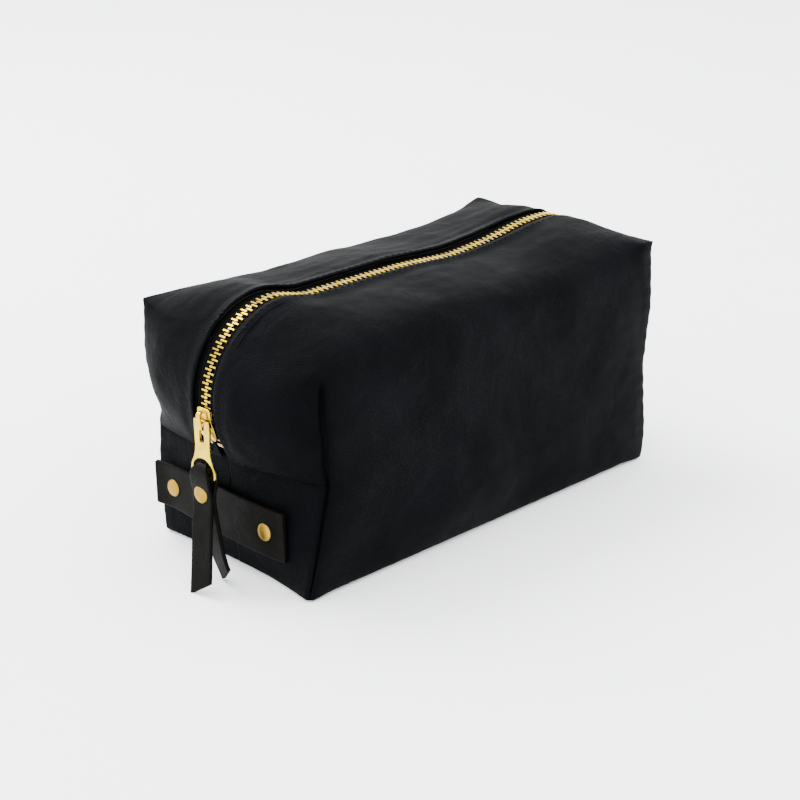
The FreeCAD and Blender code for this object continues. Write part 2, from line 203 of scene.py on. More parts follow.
def running_length(line):
    """Distance along a line, at each of its points."""
    steps = np.linalg.norm(np.diff(line, axis=0), axis=1)
    return np.concatenate([[0], np.cumsum(steps)])


def read_off(wanted, along, line):
    """Points of a line at the wanted places."""
    return np.stack([np.interp(wanted, along, column) for column in np.array(line).T], -1)


def resample(fine, count):
    """The same line with count evenly spaced points."""
    along = running_length(fine)
    return read_off(np.linspace(0, along[-1], count), along, fine)


print("helpers ready")

# %% [markdown]
# ## The shape of the cloth
# The real bag is sewn from two long halves. Cloth can't be a box: it swells between its
# seams, and each seam pulls a valley. So we draw the seams and folds first, as guide lines,
# and hang the cloth between them. One corner has slumped, as it does on a used bag, so each
# corner gets its own line.

# %% Guide lines
upper_rows = 24
lower_rows = 20
long_rows = 78
across = 20


def corner_line(side, end):
    """The upright seam of one corner, from the base to the top, as (x, y, z)."""
    if end > 0 and side > 0:
        low = [(1.06, 121, 0.6), (1.07, 121.5, 16), (1.06, 120, 36), (1.05, 118.5, seam_z)]
        high = [(1.05, 119.5, 72), (1.07, 121, 92), (1.08, 121.5, 121)]
    elif end > 0:
        low = [(0.985, 114, 0.6), (1, 114.5, 16), (1, 113, 36), (1, 111, seam_z)]
        high = [(1.03, 114, 72), (1.07, 116, 92), (1.09, 116, 121.5)]
    elif side < 0:
        low = [(1, -114, 0.6), (1, -115, 16), (1.02, -114.5, 36), (1.05, -112.5, seam_z)]
        high = [(1.02, -110, 66), (1.03, -114.5, 79), (1.03, -118, 92), (1, -119.6, 105),
                (1, -120, 120.5)]
    else:
        low = [(0.985, -118, 0.6), (1, -114.5, 16), (1, -109.5, 36), (1, -105.5, seam_z)]
        high = [(1, -106, 66), (1, -106, 84), (0.985, -105, 102)]
    low, high = (np.array(part) * (side * corner_x, 1, 1) for part in (low, low[-1:] + high))
    return smooth_curve(low, lower_rows + 1), smooth_curve(high, upper_rows + 1)


rear_radius = 31.0
rear_reach = 131.0
rear_y = rear_reach - rear_radius
rear_z = crown_z - rear_radius
rear_seam_y = 117.5


def arc_points(cx, cy, radius, start, stop, count):
    """Points along part of a circle, angles in degrees."""
    turns = np.radians(np.linspace(start, stop, count))
    return [(cx + radius * math.cos(t), cy + radius * math.sin(t)) for t in turns]


def zip_line():
    """The zip's path on the centre plane, from the front seam to the rear seam."""
    low_z = seam_z + 0.5
    start = math.degrees(math.asin((low_z - bend_z) / bend_radius))
    front = arc_points(-bend_y, bend_z, bend_radius, 180 - start, 90, 80)
    rear = arc_points(rear_y, rear_z, rear_radius, 90, -25, 80)
    down = np.linspace(rear[-1], (rear_seam_y, low_z), 13)[1:]
    return np.vstack([front, rear, down])


def sag(y):
    """The top sinks between the two rolled ends, most of all past the middle."""
    level = ease((y + 88.0) / 24.0) * (1 - ease((y - 52.0) / 42.0))
    hollow = math.exp(-((y - 30.0) / 24.0) ** 2)
    return -4.0 * level - 2.2 * hollow


path = zip_line()
shoulder_turn = math.radians(42)
shoulder_front = bend_z + bend_radius * math.sin(shoulder_turn)
shoulder_rear = rear_z + rear_radius * math.sin(shoulder_turn)
split = int(np.argmax(path[:, 1] > shoulder_front))
rear_split = len(path) - int(np.argmax(path[::-1, 1] > shoulder_rear))
low_part = resample(path[: split + 1], upper_rows + 1)
top_part = resample(path[split: rear_split], long_rows + 1)
rear_part = resample(path[rear_split - 1:], upper_rows + 1)
centre = np.vstack([low_part, top_part[1:], rear_part[1:]])
centre[:, 1] += [sag(y) for y in centre[:, 0]]
print("rows along the zip:", len(centre))

# %% [markdown]
# ## Panels
# Each half is five grids of points: the top, the side wall, the base and two lower end
# walls. Every grid starts on a guide line and swells on its way to the next one.

# %% Panels
end_half = 54.0
end_rise = 62.0
share = np.linspace(0, 1, across + 1)


def edge_line(side):
    """The top edge of one side, where the cloth rolls from the top to the side wall."""
    front = corner_line(side, -1)[1][-1]
    rear = corner_line(side, 1)[1][-1]
    x = side * (corner_x + 0.5)
    if side < 0:
        mid = [(x, -60, 117.4), (x, 10, 116.2), (x, 70, 116.4)]
    else:
        mid = [(x * 0.97, -84, 109.5), (x * 0.99, -40, 115.5), (x, 20, 117.5), (x, 76, 118.2)]
    return smooth_curve([front, *mid, rear], long_rows + 1)


def swell(distance, width):
    """Cloth leaves a seam steeply and then flattens out: 0 at the seam, 1 away from it."""
    return 1.0 - np.exp(-np.abs(distance) / width)


def top_panel(side):
    """From the zip edge outwards, for the front end, the top and the rear end."""
    edges = [corner_line(side, -1)[1], edge_line(side)[1:], corner_line(side, 1)[1][::-1][1:]]
    outer = np.vstack(edges)
    inner_x = side * (slot_x + (2.1 if side < 0 else 0.3))
    grid = np.zeros((len(centre), across + 1, 3))
    for i, (cy, cz) in enumerate(centre):
        in_top = clamp((min(i, len(centre) - 1 - i) - upper_rows) / 8.0)
        bow = share ** (2.3 - 0.3 * in_top)
        inner = np.array([inner_x, cy, cz])
        grid[i] = inner + (outer[i] - inner) * np.stack([share, bow, bow], 1)
    return grid


def side_panel(side, top):
    """From the top edge down the side wall to the base edge."""
    f_low, f_high = corner_line(side, -1)
    r_low, r_high = corner_line(side, 1)
    front = np.vstack([f_high[::-1], f_low[::-1][1:]])
    rear = np.vstack([r_high[::-1], r_low[::-1][1:]])
    v = np.linspace(0, 1, len(front))
    belly = (3.6 if side > 0 else 2.4) * np.sin(np.pi * v) ** 0.8
    seam_puff = 1.7 * np.sin(np.pi * np.clip(v, 0.02, 0.98)) ** 0.35
    grid = np.zeros((long_rows + 1, len(v), 3))
    for k in range(long_rows + 1):
        s = k / long_rows
        line = front * (1 - s) + rear * s
        line += (top[k] - line[0]) * ((1 - v) ** 1.5)[:, None]
        away = min(k, long_rows - k) * 230.0 / long_rows
        out = belly * math.sin(math.pi * s) ** 0.6 + seam_puff * swell(away, 5.0)
        line[:, 0] += side * out
        line[0] = top[k]
        grid[k] = line
    return grid


def base_panel(side, edge):
    """From the base edge to the centre seam underneath."""
    grid = np.zeros((len(edge), across + 1, 3))
    for k, (x, y, z) in enumerate(edge):
        grid[k, :, 0] = x * (1 - share) - 0.3 * side * share
        grid[k, :, 1] = y
        grid[k, :, 2] = z * (1 - share) + 0.02
        grid[k, 0, 2] = z
    return grid


def low_end_panel(side, end, seam, base):
    """The lower end wall, from the level seam down to the base."""
    low = corner_line(side, end)[0][::-1]
    grid = np.zeros((lower_rows + 1, across + 1, 3))
    for i, t in enumerate(np.linspace(0, 1, lower_rows + 1)):
        row = seam * (1 - t) + base * t
        row += (low[i] - row[-1]) * (share ** 2)[:, None]
        puff = 1.3 * swell(t * end_half, 3.0) * math.sin(math.pi * min(0.5, 1 - t)) ** 0.5
        row[:, 1] += end * puff * swell((1 - share) * end_half, 5.0)
        grid[i] = row
    return grid


def puff_upper_ends(grid):
    """Let the upper end walls swell away from the level seam and the upright seams."""
    n = len(grid)
    over = swell((1 - share) * end_half, 4.0) * np.minimum(1.0, share * 5.0)
    for i in range(n):
        k = min(i, n - 1 - i)
        if k > upper_rows + 6:
            continue
        end = -1 if i < n / 2 else 1
        t = k / upper_rows
        puff = 1.8 * swell(t * end_rise, 3.0) * max(0.0, 1 - (t / 1.25) ** 2)
        grid[i, :, 1] += end * puff * over
    return grid


print("panel rules ready")

# %% [markdown]
# ## Sewing the panels of one half
# The end walls overlap at the level seam: the upper one hangs a little over the lower one,
# which starts tucked in beneath it. Near each end the base follows the curved end wall.

# %% Halves


def grid_faces(grid, start, outward, uv0, uv1):
    """Points, faces and uvs of one grid, turned so that the faces look outwards."""
    n, m = grid.shape[:2]
    pts = grid.reshape(-1, 3)
    mid = grid[n // 2, m // 2]
    a = grid[n // 2 + 1, m // 2] - mid
    b = grid[n // 2, m // 2 + 1] - mid
    flip = np.dot(np.cross(a, b), outward) < 0
    faces, uvs = [], []
    for i in range(n - 1):
        for j in range(m - 1):
            quad = [(i, j), (i + 1, j), (i + 1, j + 1), (i, j + 1)]
            if flip:
                quad.reverse()
            faces.append([start + r * m + c for r, c in quad])
            uvs.extend([(uv0[r, c] * MM, uv1[r, c] * MM) for r, c in quad])
    return pts, faces, uvs


def lengths(grid, axis):
    """Running length over the cloth along one grid direction, in millimetres."""
    steps = np.linalg.norm(np.diff(grid, axis=axis), axis=2)
    pad = [(0, 0), (0, 0)]
    pad[axis] = (1, 0)
    return np.cumsum(np.pad(steps, pad), axis=axis)


free = 1 - share ** 8
follow_rows = 7


def tucked(seam, end):
    """The lower panel's own top edge: it starts at the middle and hides under the upper one."""
    line = seam.copy()
    line[:, 0] = seam[-1, 0] * share - 0.3 * np.sign(seam[-1, 0]) * (1 - share)
    line[:, 1] -= end * 1.8 * free
    line[:, 2] += 0.8 * free
    return line


def base_edge(row, middle):
    """The edge under one end wall: its middle stands at its own place."""
    line = row.copy()
    line[:, 1] += (middle - line[:, 1]) * (1 - share ** 2)
    return line


def half_bag(side):
    """All panels of one half, joined along their shared lines."""
    top = puff_upper_ends(top_panel(side))
    wall = side_panel(side, top[upper_rows: upper_rows + long_rows + 1, -1])
    base = base_panel(side, wall[:, -1])
    low_ends = []
    for end, row, step, middle in ((-1, 0, 1, -111.5), (1, -1, -1, 113.0)):
        under = base_edge(base[row][::-1], middle)
        change = under[::-1, 1] - base[row, :, 1]
        for k in range(1, follow_rows):
            base[row + step * k, :, 1] += change * (1 - k / follow_rows) ** 2
        base[row] = under[::-1]
        edge = tucked(top[row], end)
        low = low_end_panel(side, end, edge, under)
        low[0] = edge
        low[-1] = under
        low[:, -1] = corner_line(side, end)[0][::-1]
        low_ends.append(low)
        top[row, :, 1] -= end * 2.2 * free
        top[row, :, 2] -= 0.8 * free
    return top, wall, base, *low_ends


panels = {side: half_bag(side) for side in (-1, 1)}
print("panel grids:", [p.shape for p in panels[1]])

# %% [markdown]
# ## Joining the panels and softening them
# The grids meet point for point along every seam, so merging the doubles gives one shell per
# half. Real canvas folds softly where there's no seam, so the long top edge is relaxed: much
# on the slumped side, little on the other. Then a slow noise gives the broad dents that
# waxed cloth keeps.

# %% Canvas shells
relax_turns = {-1: 6, 1: 90}


def shell_mesh(name, side):
    """One half of the bag as an open shell with a texture map."""
    top, wall, base, low_front, low_rear = panels[side]
    grids = [(top, (0, 0, 1)), (wall, (side, 0, 0)), (base, (0, 0, -1)),
             (low_front, (0, -1, 0)), (low_rear, (0, 1, 0))]
    points, faces, uvs = [], [], []
    for grid, outward in grids:
        run, down = lengths(grid, 1), lengths(grid, 0)
        pts, f, uv = grid_faces(grid, len(points), np.array(outward, float), run, down)
        points.extend(pts)
        faces.extend(f)
        uvs.extend(uv)
    obj = new_object(name, points, faces, uvs)
    edit_mesh(obj.data, lambda bm: bmesh.ops.remove_doubles(bm, verts=bm.verts, dist=0.0002))
    sewn = obj.vertex_groups.new(name="sewn")
    lines = np.vstack([part for end in (-1, 1) for part in corner_line(side, end)])
    for v in obj.data.vertices:
        if np.min(np.linalg.norm(lines - np.array(v.co) / MM, axis=1)) < 0.05:
            top_of = corner_line(side, -1 if v.co.y < 0 else 1)[1][-1][2]
            sewn.add([v.index], clamp((top_of - v.co.z / MM) / 7), "REPLACE")
    return obj


def relax(obj, weight, turns):
    """Pull each point towards the middle of its neighbours, as far as weight allows."""
    bm = bmesh.new()
    bm.from_mesh(obj.data)
    bm.verts.ensure_lookup_table()
    share = [weight(v.co / MM) for v in bm.verts]
    moving = [i for i, s in enumerate(share) if s > 0.001 and not bm.verts[i].is_boundary]
    for _ in range(turns):
        fresh = {}
        for i in moving:
            v = bm.verts[i]
            around = [e.other_vert(v).co for e in v.link_edges]
            mid = sum(around, Vector()) / len(around)
            fresh[i] = v.co.lerp(mid, 0.5 * share[i])
        for i, co in fresh.items():
            bm.verts[i].co = co
    bm.to_mesh(obj.data)
    bm.free()


def top_edge_weight(side):
    """How freely the cloth relaxes: along the top edge, but not at a sewn corner."""
    def weight(p):
        reach = 34 if side > 0 else 16
        across_edge = max(0.0, 1 - abs(abs(p.x) - 52) / reach)
        near_edge = across_edge * clamp((p.z - 76) / 16)
        slump = 0
        if side > 0 and p.y < -60:
            slump = clamp((p.z - 96) / 8) * clamp((p.x - 12) / 14)
        hold = clamp((112 - abs(p.y)) / 26)
        if side > 0 and p.y < 0:
            hold = 1.0
        return max(near_edge * hold, slump)
    return weight


def base_edge_weight(p):
    """The base edges are folds too, only tighter."""
    near = max(0.0, 1 - abs(p.z) / 7) * clamp((abs(p.x) - 44) / 6)
    return near * clamp((112 - abs(p.y)) / 8)


shells = {}
for name, side in (("canvas_left", -1), ("canvas_right", 1)):
    shell = shell_mesh(name, side)
    relax(shell, top_edge_weight(side), relax_turns[side])
    relax(shell, base_edge_weight, 4)
    shells[side] = shell
    print(name, len(shell.data.vertices), "points")

# %% [markdown]
# ## Dents and creases
# Waxed cotton is stiff: it dents in broad soft hollows and keeps short creases where it was
# gripped. We push the cloth along its own normals with slow noise, strongest in the middle
# of a panel and gone at the seams, and add a few puckers that fan out from the corners.

# %% Cloth relief


def seam_distance(p):
    """Rough distance in millimetres from the nearest seam or sewn edge."""
    to_zip = abs(abs(p.x) - slot_x)
    to_end_seam = abs(p.z - seam_z) if abs(p.y) > 100 else 50.0
    to_corner = abs(abs(p.y) - 110) if abs(p.x) > 45 else 50.0
    return min(to_zip + (0 if p.z > seam_z else 40), to_end_seam, to_corner + 1.0)


def cloth_relief(obj, side, seed):
    """Push a shell in and out along its normals."""
    moved = []
    for v in obj.data.vertices:
        p = v.co / MM
        fade = 1.0 - math.exp(-seam_distance(p) / 9.0)
        fade *= clamp((p.z - 2.0) / 14.0)
        if p.z < seam_z + 2 and abs(p.y) > 100:
            fade *= 1.0 - math.exp(-abs(p.x) / 8.0)
        slow = noise.noise(Vector((p.x * 0.02 + seed, p.y * 0.016, p.z * 0.022)))
        mid = noise.noise(Vector((p.x * 0.055, p.y * 0.04 + seed, p.z * 0.05)))
        fine = noise.noise(Vector((p.x * 0.16, p.y * 0.12, p.z * 0.15 + seed)))
        push = fade * (2.6 * slow + 1.0 * mid) + 0.22 * fine * min(1.0, fade + 0.3)
        if p.z > 100 and abs(p.x) < 34 and abs(p.y) < 112:
            across_zip = abs(p.x) - slot_x
            ripple = math.sin(across_zip * 0.62 + 0.9 * math.sin(p.y * 0.035 + side))
            push += 0.42 * ripple * math.exp(-across_zip / 12.0) * (1.0 if side < 0 else 0.5)
        pucker = math.exp(-((abs(p.y) - 112) / 9.0) ** 2) if abs(p.x) > 50 else 0.0
        push += 0.35 * pucker * math.sin(p.z * 0.8 + seed) * fade
        spot = v.co + v.normal * (push * MM)
        spot.z = max(spot.z, 0.0)
        moved.append(spot)
    move_points(obj, moved)


def pull_seams(obj, depth):
    """Draw the sewn corner lines into the cloth, which leaves a groove along each."""
    group = obj.vertex_groups["sewn"].index
    moved = []
    for v in obj.data.vertices:
        pull = sum(g.weight for g in v.groups if g.group == group)
        moved.append(v.co - v.normal * (depth * pull ** 1.8 * MM))
    move_points(obj, moved)


def hem_lift(obj, side):
    """Raise the folded canvas edge beside the zip into a rounded lip."""
    lift = 1.7 if side < 0 else 0.9
    reach = 9.0 if side < 0 else 6.0
    moved = []
    for v in obj.data.vertices:
        p = v.co / MM
        if p.z < seam_z + 0.5:
            moved.append(v.co.copy())
            continue
        d = abs(p.x) - slot_x
        start = clamp((p.z - seam_z) / 16.0) * (1.0 - 0.8 * clamp((p.y - 50.0) / 40.0))
        bump = math.exp(-((d - 2.2) / (0.42 * reach)) ** 2)
        moved.append(v.co + v.normal * (lift * bump * start * MM))
    move_points(obj, moved)


for side, shell in shells.items():
    apply_modifier(shell, "SUBSURF", levels=1)
    cloth_relief(shell, side, 3.7 + 5.1 * side)
    pull_seams(shell, 5.0)
    hem_lift(shell, side)
    print(shell.name, len(shell.data.vertices), "points after relief")

# %% [markdown]
# ## Canvas, lining and the folded edge
# The shell so far has no thickness. Heavy canvas is about a millimetre thick and turns back
# under itself beside the zip. The lining is the same shape a little further in, stopping
# short of the zip tape. Both are copies of one shell, so they can never poke through.

# %% Cloth layers
canvas_thick = 1.0
lining_depth = 2.2
hem_width = 5.0


def turn_hem(obj, side):
    """Fold the open edge beside the zip back underneath."""
    bm = bmesh.new()
    bm.from_mesh(obj.data)
    uv = bm.loops.layers.uv.active
    rim = [e for e in bm.edges if e.is_boundary and all(
        abs(v.co.x) / MM < slot_x + 6 and v.co.z / MM > seam_z + 3.0 for v in e.verts)]
    normal = {v: v.normal.copy() for e in rim for v in e.verts}
    root = {v: v.co.copy() for v in normal}
    for depth, out in ((0.5, -0.35), (1.3, -0.1), (1.75, 1.4), (1.8, hem_width)):
        made = bmesh.ops.extrude_edge_only(bm, edges=rim)["geom"]
        fresh = [g for g in made if isinstance(g, bmesh.types.BMVert)]
        rim = [g for g in made if isinstance(g, bmesh.types.BMEdge)]
        for v in fresh:
            old = next(e.other_vert(v) for e in v.link_edges
                       if e.other_vert(v) in root and e not in rim)
            root[v] = root[old]
            normal[v] = normal[old]
        for v in fresh:
            v.co = root[v] - normal[v] * (depth * MM) + Vector((side * out * MM, 0, 0))
    bm.to_mesh(obj.data)
    bm.free()


def inner_copy(shell, name, depth, keep_from):
    """A copy of a shell, drawn inwards along its normals and trimmed beside the zip."""
    obj = in_scene(name, shell.data.copy())
    move_points(obj, [v.co - v.normal * (depth * MM) for v in obj.data.vertices])

    def trim(bm):
        drop = [v for v in bm.verts if abs(v.co.x) / MM < keep_from and v.co.z / MM > seam_z]
        bmesh.ops.delete(bm, geom=drop, context="VERTS")

    edit_mesh(obj.data, trim)
    return obj


linings = {}
for name, side in (("lining_left", -1), ("lining_right", 1)):
    linings[side] = inner_copy(shells[side], name, lining_depth, 9.0)
    apply_modifier(linings[side], "SOLIDIFY", thickness=0.4 * MM, offset=-1.0)

for side, shell in shells.items():
    turn_hem(shell, side)
    apply_modifier(shell, "SOLIDIFY", thickness=canvas_thick * MM, offset=-1.0)
    print(shell.name, "closed cloth with", len(shell.data.polygons), "faces")

# %% [markdown]
# ## Finishes
# Each finish is a small network of nodes. Values that are the same all over are set on the
# shader itself; only what changes across the surface, such as colour, roughness and relief,
# comes from textures. Waxed canvas is nearly black with a blue cast, matt, and shows pale
# scuffs where the wax has cracked.

# %% Finish helpers


class Finish:
    """A material under construction, with short names for the nodes it uses."""

    def __init__(self, name, colour, rough, metal=0.0, shine=0.5):
        self.mat = bpy.data.materials.new(name)
        self.mat.use_nodes = True
        self.nodes = self.mat.node_tree.nodes
        self.links = self.mat.node_tree.links
        self.shader = self.nodes["Principled BSDF"]
        self.height = None
        self.set(self.shader, Base_Color=(*colour, 1), Roughness=rough, Metallic=metal,
                 Specular_IOR_Level=shine)

    def set(self, node, **values):
        """Set inputs of a node by name, with _ for a space."""
        for name, value in values.items():
            node.inputs[name.replace("_", " ")].default_value = value

    def add(self, kind, feed, **values):
        """A new node with its inputs set, fed from other nodes."""
        node = self.nodes.new("ShaderNode" + kind)
        self.set(node, **values)
        for name, source in feed.items():
            self.links.new(source, node.inputs[name])
        return node

    def place(self, scale, source="Object"):
        """Texture coordinates, in units of 1 / scale metres."""
        coords = self.nodes.new("ShaderNodeTexCoord")
        scale = scale if isinstance(scale, tuple) else (scale, scale, scale)
        return self.add("Mapping", {"Vector": coords.outputs[source]}, Scale=scale).outputs[0]

    def cloud(self, where, detail=4.0, rough=0.55, distort=0.0):
        """Soft irregular patches."""
        return self.add("TexNoise", {"Vector": where}, Scale=1.0, Detail=detail,
                        Roughness=rough, Distortion=distort).outputs["Fac"]

    def threads(self, where, direction):
        """Evenly spaced threads along one direction."""
        node = self.add("TexWave", {"Vector": where}, Scale=1.0, Distortion=0.6, Detail=1.0)
        node.bands_direction = direction
        return node.outputs["Fac"]

    def cells(self, where, feature="F1"):
        """A pebbled pattern."""
        node = self.nodes.new("ShaderNodeTexVoronoi")
        node.feature = feature
        self.set(node, Scale=1.0)
        self.links.new(where, node.inputs["Vector"])
        return node.outputs["Distance"]

    def ramp(self, value, low, high, a=0.0, b=1.0):
        """Stretch the part of a value between low and high."""
        return self.add("MapRange", {"Value": value}, From_Min=low, From_Max=high,
                        To_Min=a, To_Max=b).outputs["Result"]

    def fill(self, sockets, values):
        """Put a number, a colour or another node's output on each socket."""
        for socket, value in zip(sockets, values):
            if isinstance(value, tuple):
                socket.default_value = (*value, 1)
            elif isinstance(value, (int, float)):
                socket.default_value = value
            else:
                self.links.new(value, socket)

    def sum(self, a, b, kind="ADD"):
        """Add, multiply or compare two values."""
        node = self.nodes.new("ShaderNodeMath")
        node.operation = kind
        self.fill(node.inputs, (a, b))
        return node.outputs[0]

    def tint(self, colours, by):
        """Mix two colours by a value."""
        node = self.nodes.new("ShaderNodeMix")
        node.data_type = "RGBA"
        self.fill((node.inputs[6], node.inputs[7], node.inputs[0]), (*colours, by))
        return node.outputs[2]

    def relief(self, value, depth):
        """Raise the surface by a value, up to depth in metres."""
        feed = {"Height": value}
        if self.height is not None:
            feed["Normal"] = self.height
        node = self.add("Bump", feed, Strength=1.0, Distance=depth)
        self.height = node.outputs["Normal"]
        self.links.new(self.height, self.shader.inputs["Normal"])

    def colour(self, out):
        """Let a node drive the colour."""
        self.links.new(out, self.shader.inputs["Base Color"])

    def rough(self, out):
        """Let a node drive the roughness."""
        self.links.new(out, self.shader.inputs["Roughness"])


print("finish helpers ready")

# %% [markdown]
# ## Cloth finishes
# The weave follows the texture map, so its threads run the way each panel was cut. The wax
# is a slow cloud, and the scuffs are thin streaks that show only where the cloth is worn.

# %% Waxed canvas


def waxed_canvas():
    """Black canvas with a blue cast, mottled wax, pale scuffs and painted shade in the gaps of the
    weave.
    """
    f = Finish("waxed_canvas", (0.002, 0.0021, 0.0026), 0.62, shine=0.02)
    f.set(f.shader, Sheen_Weight=0.0015, Sheen_Roughness=0.5)
    broad = f.cloud(f.place(26), detail=5.0, rough=0.6)
    wax = f.ramp(broad, 0.35, 0.72)
    mottled = f.tint(((0.0004, 0.0005, 0.0008), (0.0012, 0.0015, 0.0022)), wax)
    scratch = f.cloud(f.place((420, 90, 260)), detail=3.0, rough=0.7, distort=1.2)
    along = f.cloud(f.place((70, 300, 300)), detail=3.0, rough=0.7, distort=1.2)
    marks = f.sum(f.ramp(scratch, 0.66, 0.80), f.ramp(along, 0.66, 0.80), "MAXIMUM")
    where_worn = f.ramp(f.cloud(f.place(38), detail=2.0), 0.46, 0.66)
    scuffs = f.sum(marks, where_worn, "MULTIPLY")
    scuffed = f.tint((mottled, (0.010, 0.0112, 0.0145)), f.sum(scuffs, 0.7, "MULTIPLY"))
    weave_at = f.place(310, "UV")
    warp = f.threads(weave_at, "X")
    weft = f.threads(weave_at, "Y")
    weave = f.sum(warp, weft, "MULTIPLY")
    # Painted shade: where the weave sinks between threads, the colour is mixed towards a darker
    # tone.
    shaded = f.tint((scuffed, (0.0008, 0.0009, 0.0011)), f.ramp(weave, 0.0, 0.45, 0.35, 0.0))
    f.colour(shaded)
    f.rough(f.ramp(broad, 0.3, 0.75, 0.70, 0.54))
    f.relief(weave, 0.00016)
    f.relief(f.cloud(f.place(240), detail=3.0), 0.00030)
    f.relief(f.cloud(f.place(75), detail=4.0, distort=0.8), 0.0009)
    return f.mat


def plain_cloth(name, colour, light, threads=500.0):
    """A plain weave with a painted highlight: a little lighter where the threads stand up."""
    f = Finish(name, colour, 0.8, shine=0.05)
    where = f.place(threads, "UV")
    weave = f.sum(f.threads(where, "X"), f.threads(where, "Y"), "MULTIPLY")
    slow = f.cloud(f.place(60), detail=3.0)
    # Painted highlight: raised threads are mixed towards the lighter colour, more in some slow
    # patches than in others.
    f.colour(f.tint((colour, light), f.sum(f.sum(weave, slow, "MULTIPLY"), 0.8, "MULTIPLY")))
    f.rough(f.ramp(slow, 0.3, 0.7, 0.72, 0.88))
    f.relief(weave, 0.00015)
    return f.mat


def herringbone_tape():
    """Slanted ribs that turn back on themselves, with painted highlight on the raised ribs and
    painted shade between them.
    """
    f = Finish("zip_tape_weave", (0.002, 0.002, 0.0022), 0.8, shine=0.03)
    at = f.place((520, 380, 520), "UV")
    rib = f.threads(at, "DIAGONAL")
    fold = f.threads(f.place((160, 0.1, 1), "UV"), "X")
    both = f.sum(rib, fold, "MULTIPLY")
    # Painted highlight and shade: the raised ribs get the lighter colour, the grooves between them
    # the darker one.
    f.colour(f.tint(((0.0010, 0.0010, 0.0012), (0.0045, 0.0045, 0.0052)), both))
    f.rough(f.ramp(both, 0.0, 1.0, 0.80, 0.62))
    f.relief(both, 0.0002)
    return f.mat


canvas_finish = waxed_canvas()
# The second colour of each cloth is the painted highlight of its raised threads.
lining_finish = plain_cloth("lining_cotton", (0.012, 0.011, 0.010), (0.030, 0.028, 0.026))
binding_finish = plain_cloth("binding_tape", (0.003, 0.003, 0.0034), (0.010, 0.010, 0.011), 640.0)
tape_finish = herringbone_tape()
print("cloth finishes ready")

# %% [markdown]
# ## Leather, brass and thread
# The leather is oiled and almost black, with fine pores and a slightly drier look in broad
# patches. The zip and pull are polished pale brass with hairline scratches; the rivets are
# softer and browner. A metal looks real when its roughness varies a little.

# %% Leather, metal and thread


def oiled_leather():
    """Nearly black leather with pores, fine creases and drier patches."""
    f = Finish("oiled_leather", (0.004, 0.0036, 0.003), 0.56, shine=0.03)
    pores = f.cells(f.place(1500))
    grain = f.cells(f.place(620), "DISTANCE_TO_EDGE")
    slow = f.cloud(f.place(95), detail=4.0, distort=0.6)
    drier = f.ramp(slow, 0.3, 0.72)
    f.colour(f.tint(((0.0009, 0.0008, 0.0006), (0.0019, 0.0017, 0.0012)), drier))
    f.rough(f.ramp(slow, 0.3, 0.7, 0.60, 0.46))
    f.relief(f.ramp(grain, 0.0, 0.25), 0.00005)
    f.relief(pores, 0.00003)
    f.relief(slow, 0.00035)
    return f.mat


def metal(name, dark, light, low, high, brushed=900.0):
    """A metal that varies between two colours and two roughnesses, with hairlines."""
    f = Finish(name, light, low, 1.0)
    slow = f.cloud(f.place(130), detail=3.0)
    hair = f.cloud(f.place((2.4 * brushed, 2.4 * brushed, 0.25 * brushed)), detail=2.0)
    f.colour(f.tint((dark, light), f.ramp(slow, 0.3, 0.6)))
    f.rough(f.ramp(f.sum(slow, hair, "MULTIPLY"), 0.12, 0.42, low, high))
    f.relief(hair, 0.00002)
    return f.mat


def waxed_thread():
    """Twisted black thread, with painted highlight on the ridges of its twist and painted shade in
    its grooves.
    """
    f = Finish("black_thread", (0.002, 0.002, 0.0022), 0.6, shine=0.05)
    twist = f.threads(f.place(1400), "DIAGONAL")
    # Painted highlight and shade: the ridges of the twist are lighter, its grooves darker than the
    # thread's own black.
    f.colour(f.tint(((0.0010, 0.0010, 0.0012), (0.0070, 0.0070, 0.0080)), twist))
    f.relief(twist, 0.0001)
    return f.mat


leather_finish = oiled_leather()
brass_finish = metal("polished_brass", (0.36, 0.23, 0.015), (0.62, 0.44, 0.028), 0.18, 0.32)
teeth_finish = metal("tooth_brass", (0.27, 0.175, 0.015), (0.48, 0.335, 0.026), 0.22, 0.36)
rivet_finish = metal("satin_brass", (0.20, 0.112, 0.010), (0.30, 0.182, 0.016), 0.34, 0.5, 500.0)
steel_finish = metal("spring_steel", (0.14, 0.14, 0.14), (0.24, 0.24, 0.24), 0.25, 0.4)
thread_finish = waxed_thread()
print("leather, metal and thread ready")

# %% [markdown]
# ## Dressing the cloth
# The lower half of the bag stands still while the mouth opens. Here each half of the canvas
# and the lining gets its finish, takes the place of its engineering parts, and has its
# placement baked into its mesh; it stays on no body, and nothing blends it between bodies.

# %% Canvas and lining finishes
hand = {-1: "left", 1: "right"}


def fold_open(obj):
    """Bake a finished piece's placement into its mesh."""
    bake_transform(obj)


for side in (-1, 1):
    for group, material, slot in ((shells, canvas_finish, "canvas"),
                                  (linings, lining_finish, "lining")):
        nodes = [f"{slot}_{hand[side]}_{level}" for level in ("upper", "lower")]
        finish_piece(group[side], None, material, slot, *nodes)
        fold_open(group[side])

# %% [markdown]
# ## Straps, tapes and bound seams
# A strap, a zip tape and a bound seam are the same thing to a modeller: a flat band with
# soft edges that follows a line. One helper sweeps a rounded section along the line and
# closes both ends. It also takes a slant, for tips that were cut at an angle.

# %% A band along a line
slant_rows = 12.0


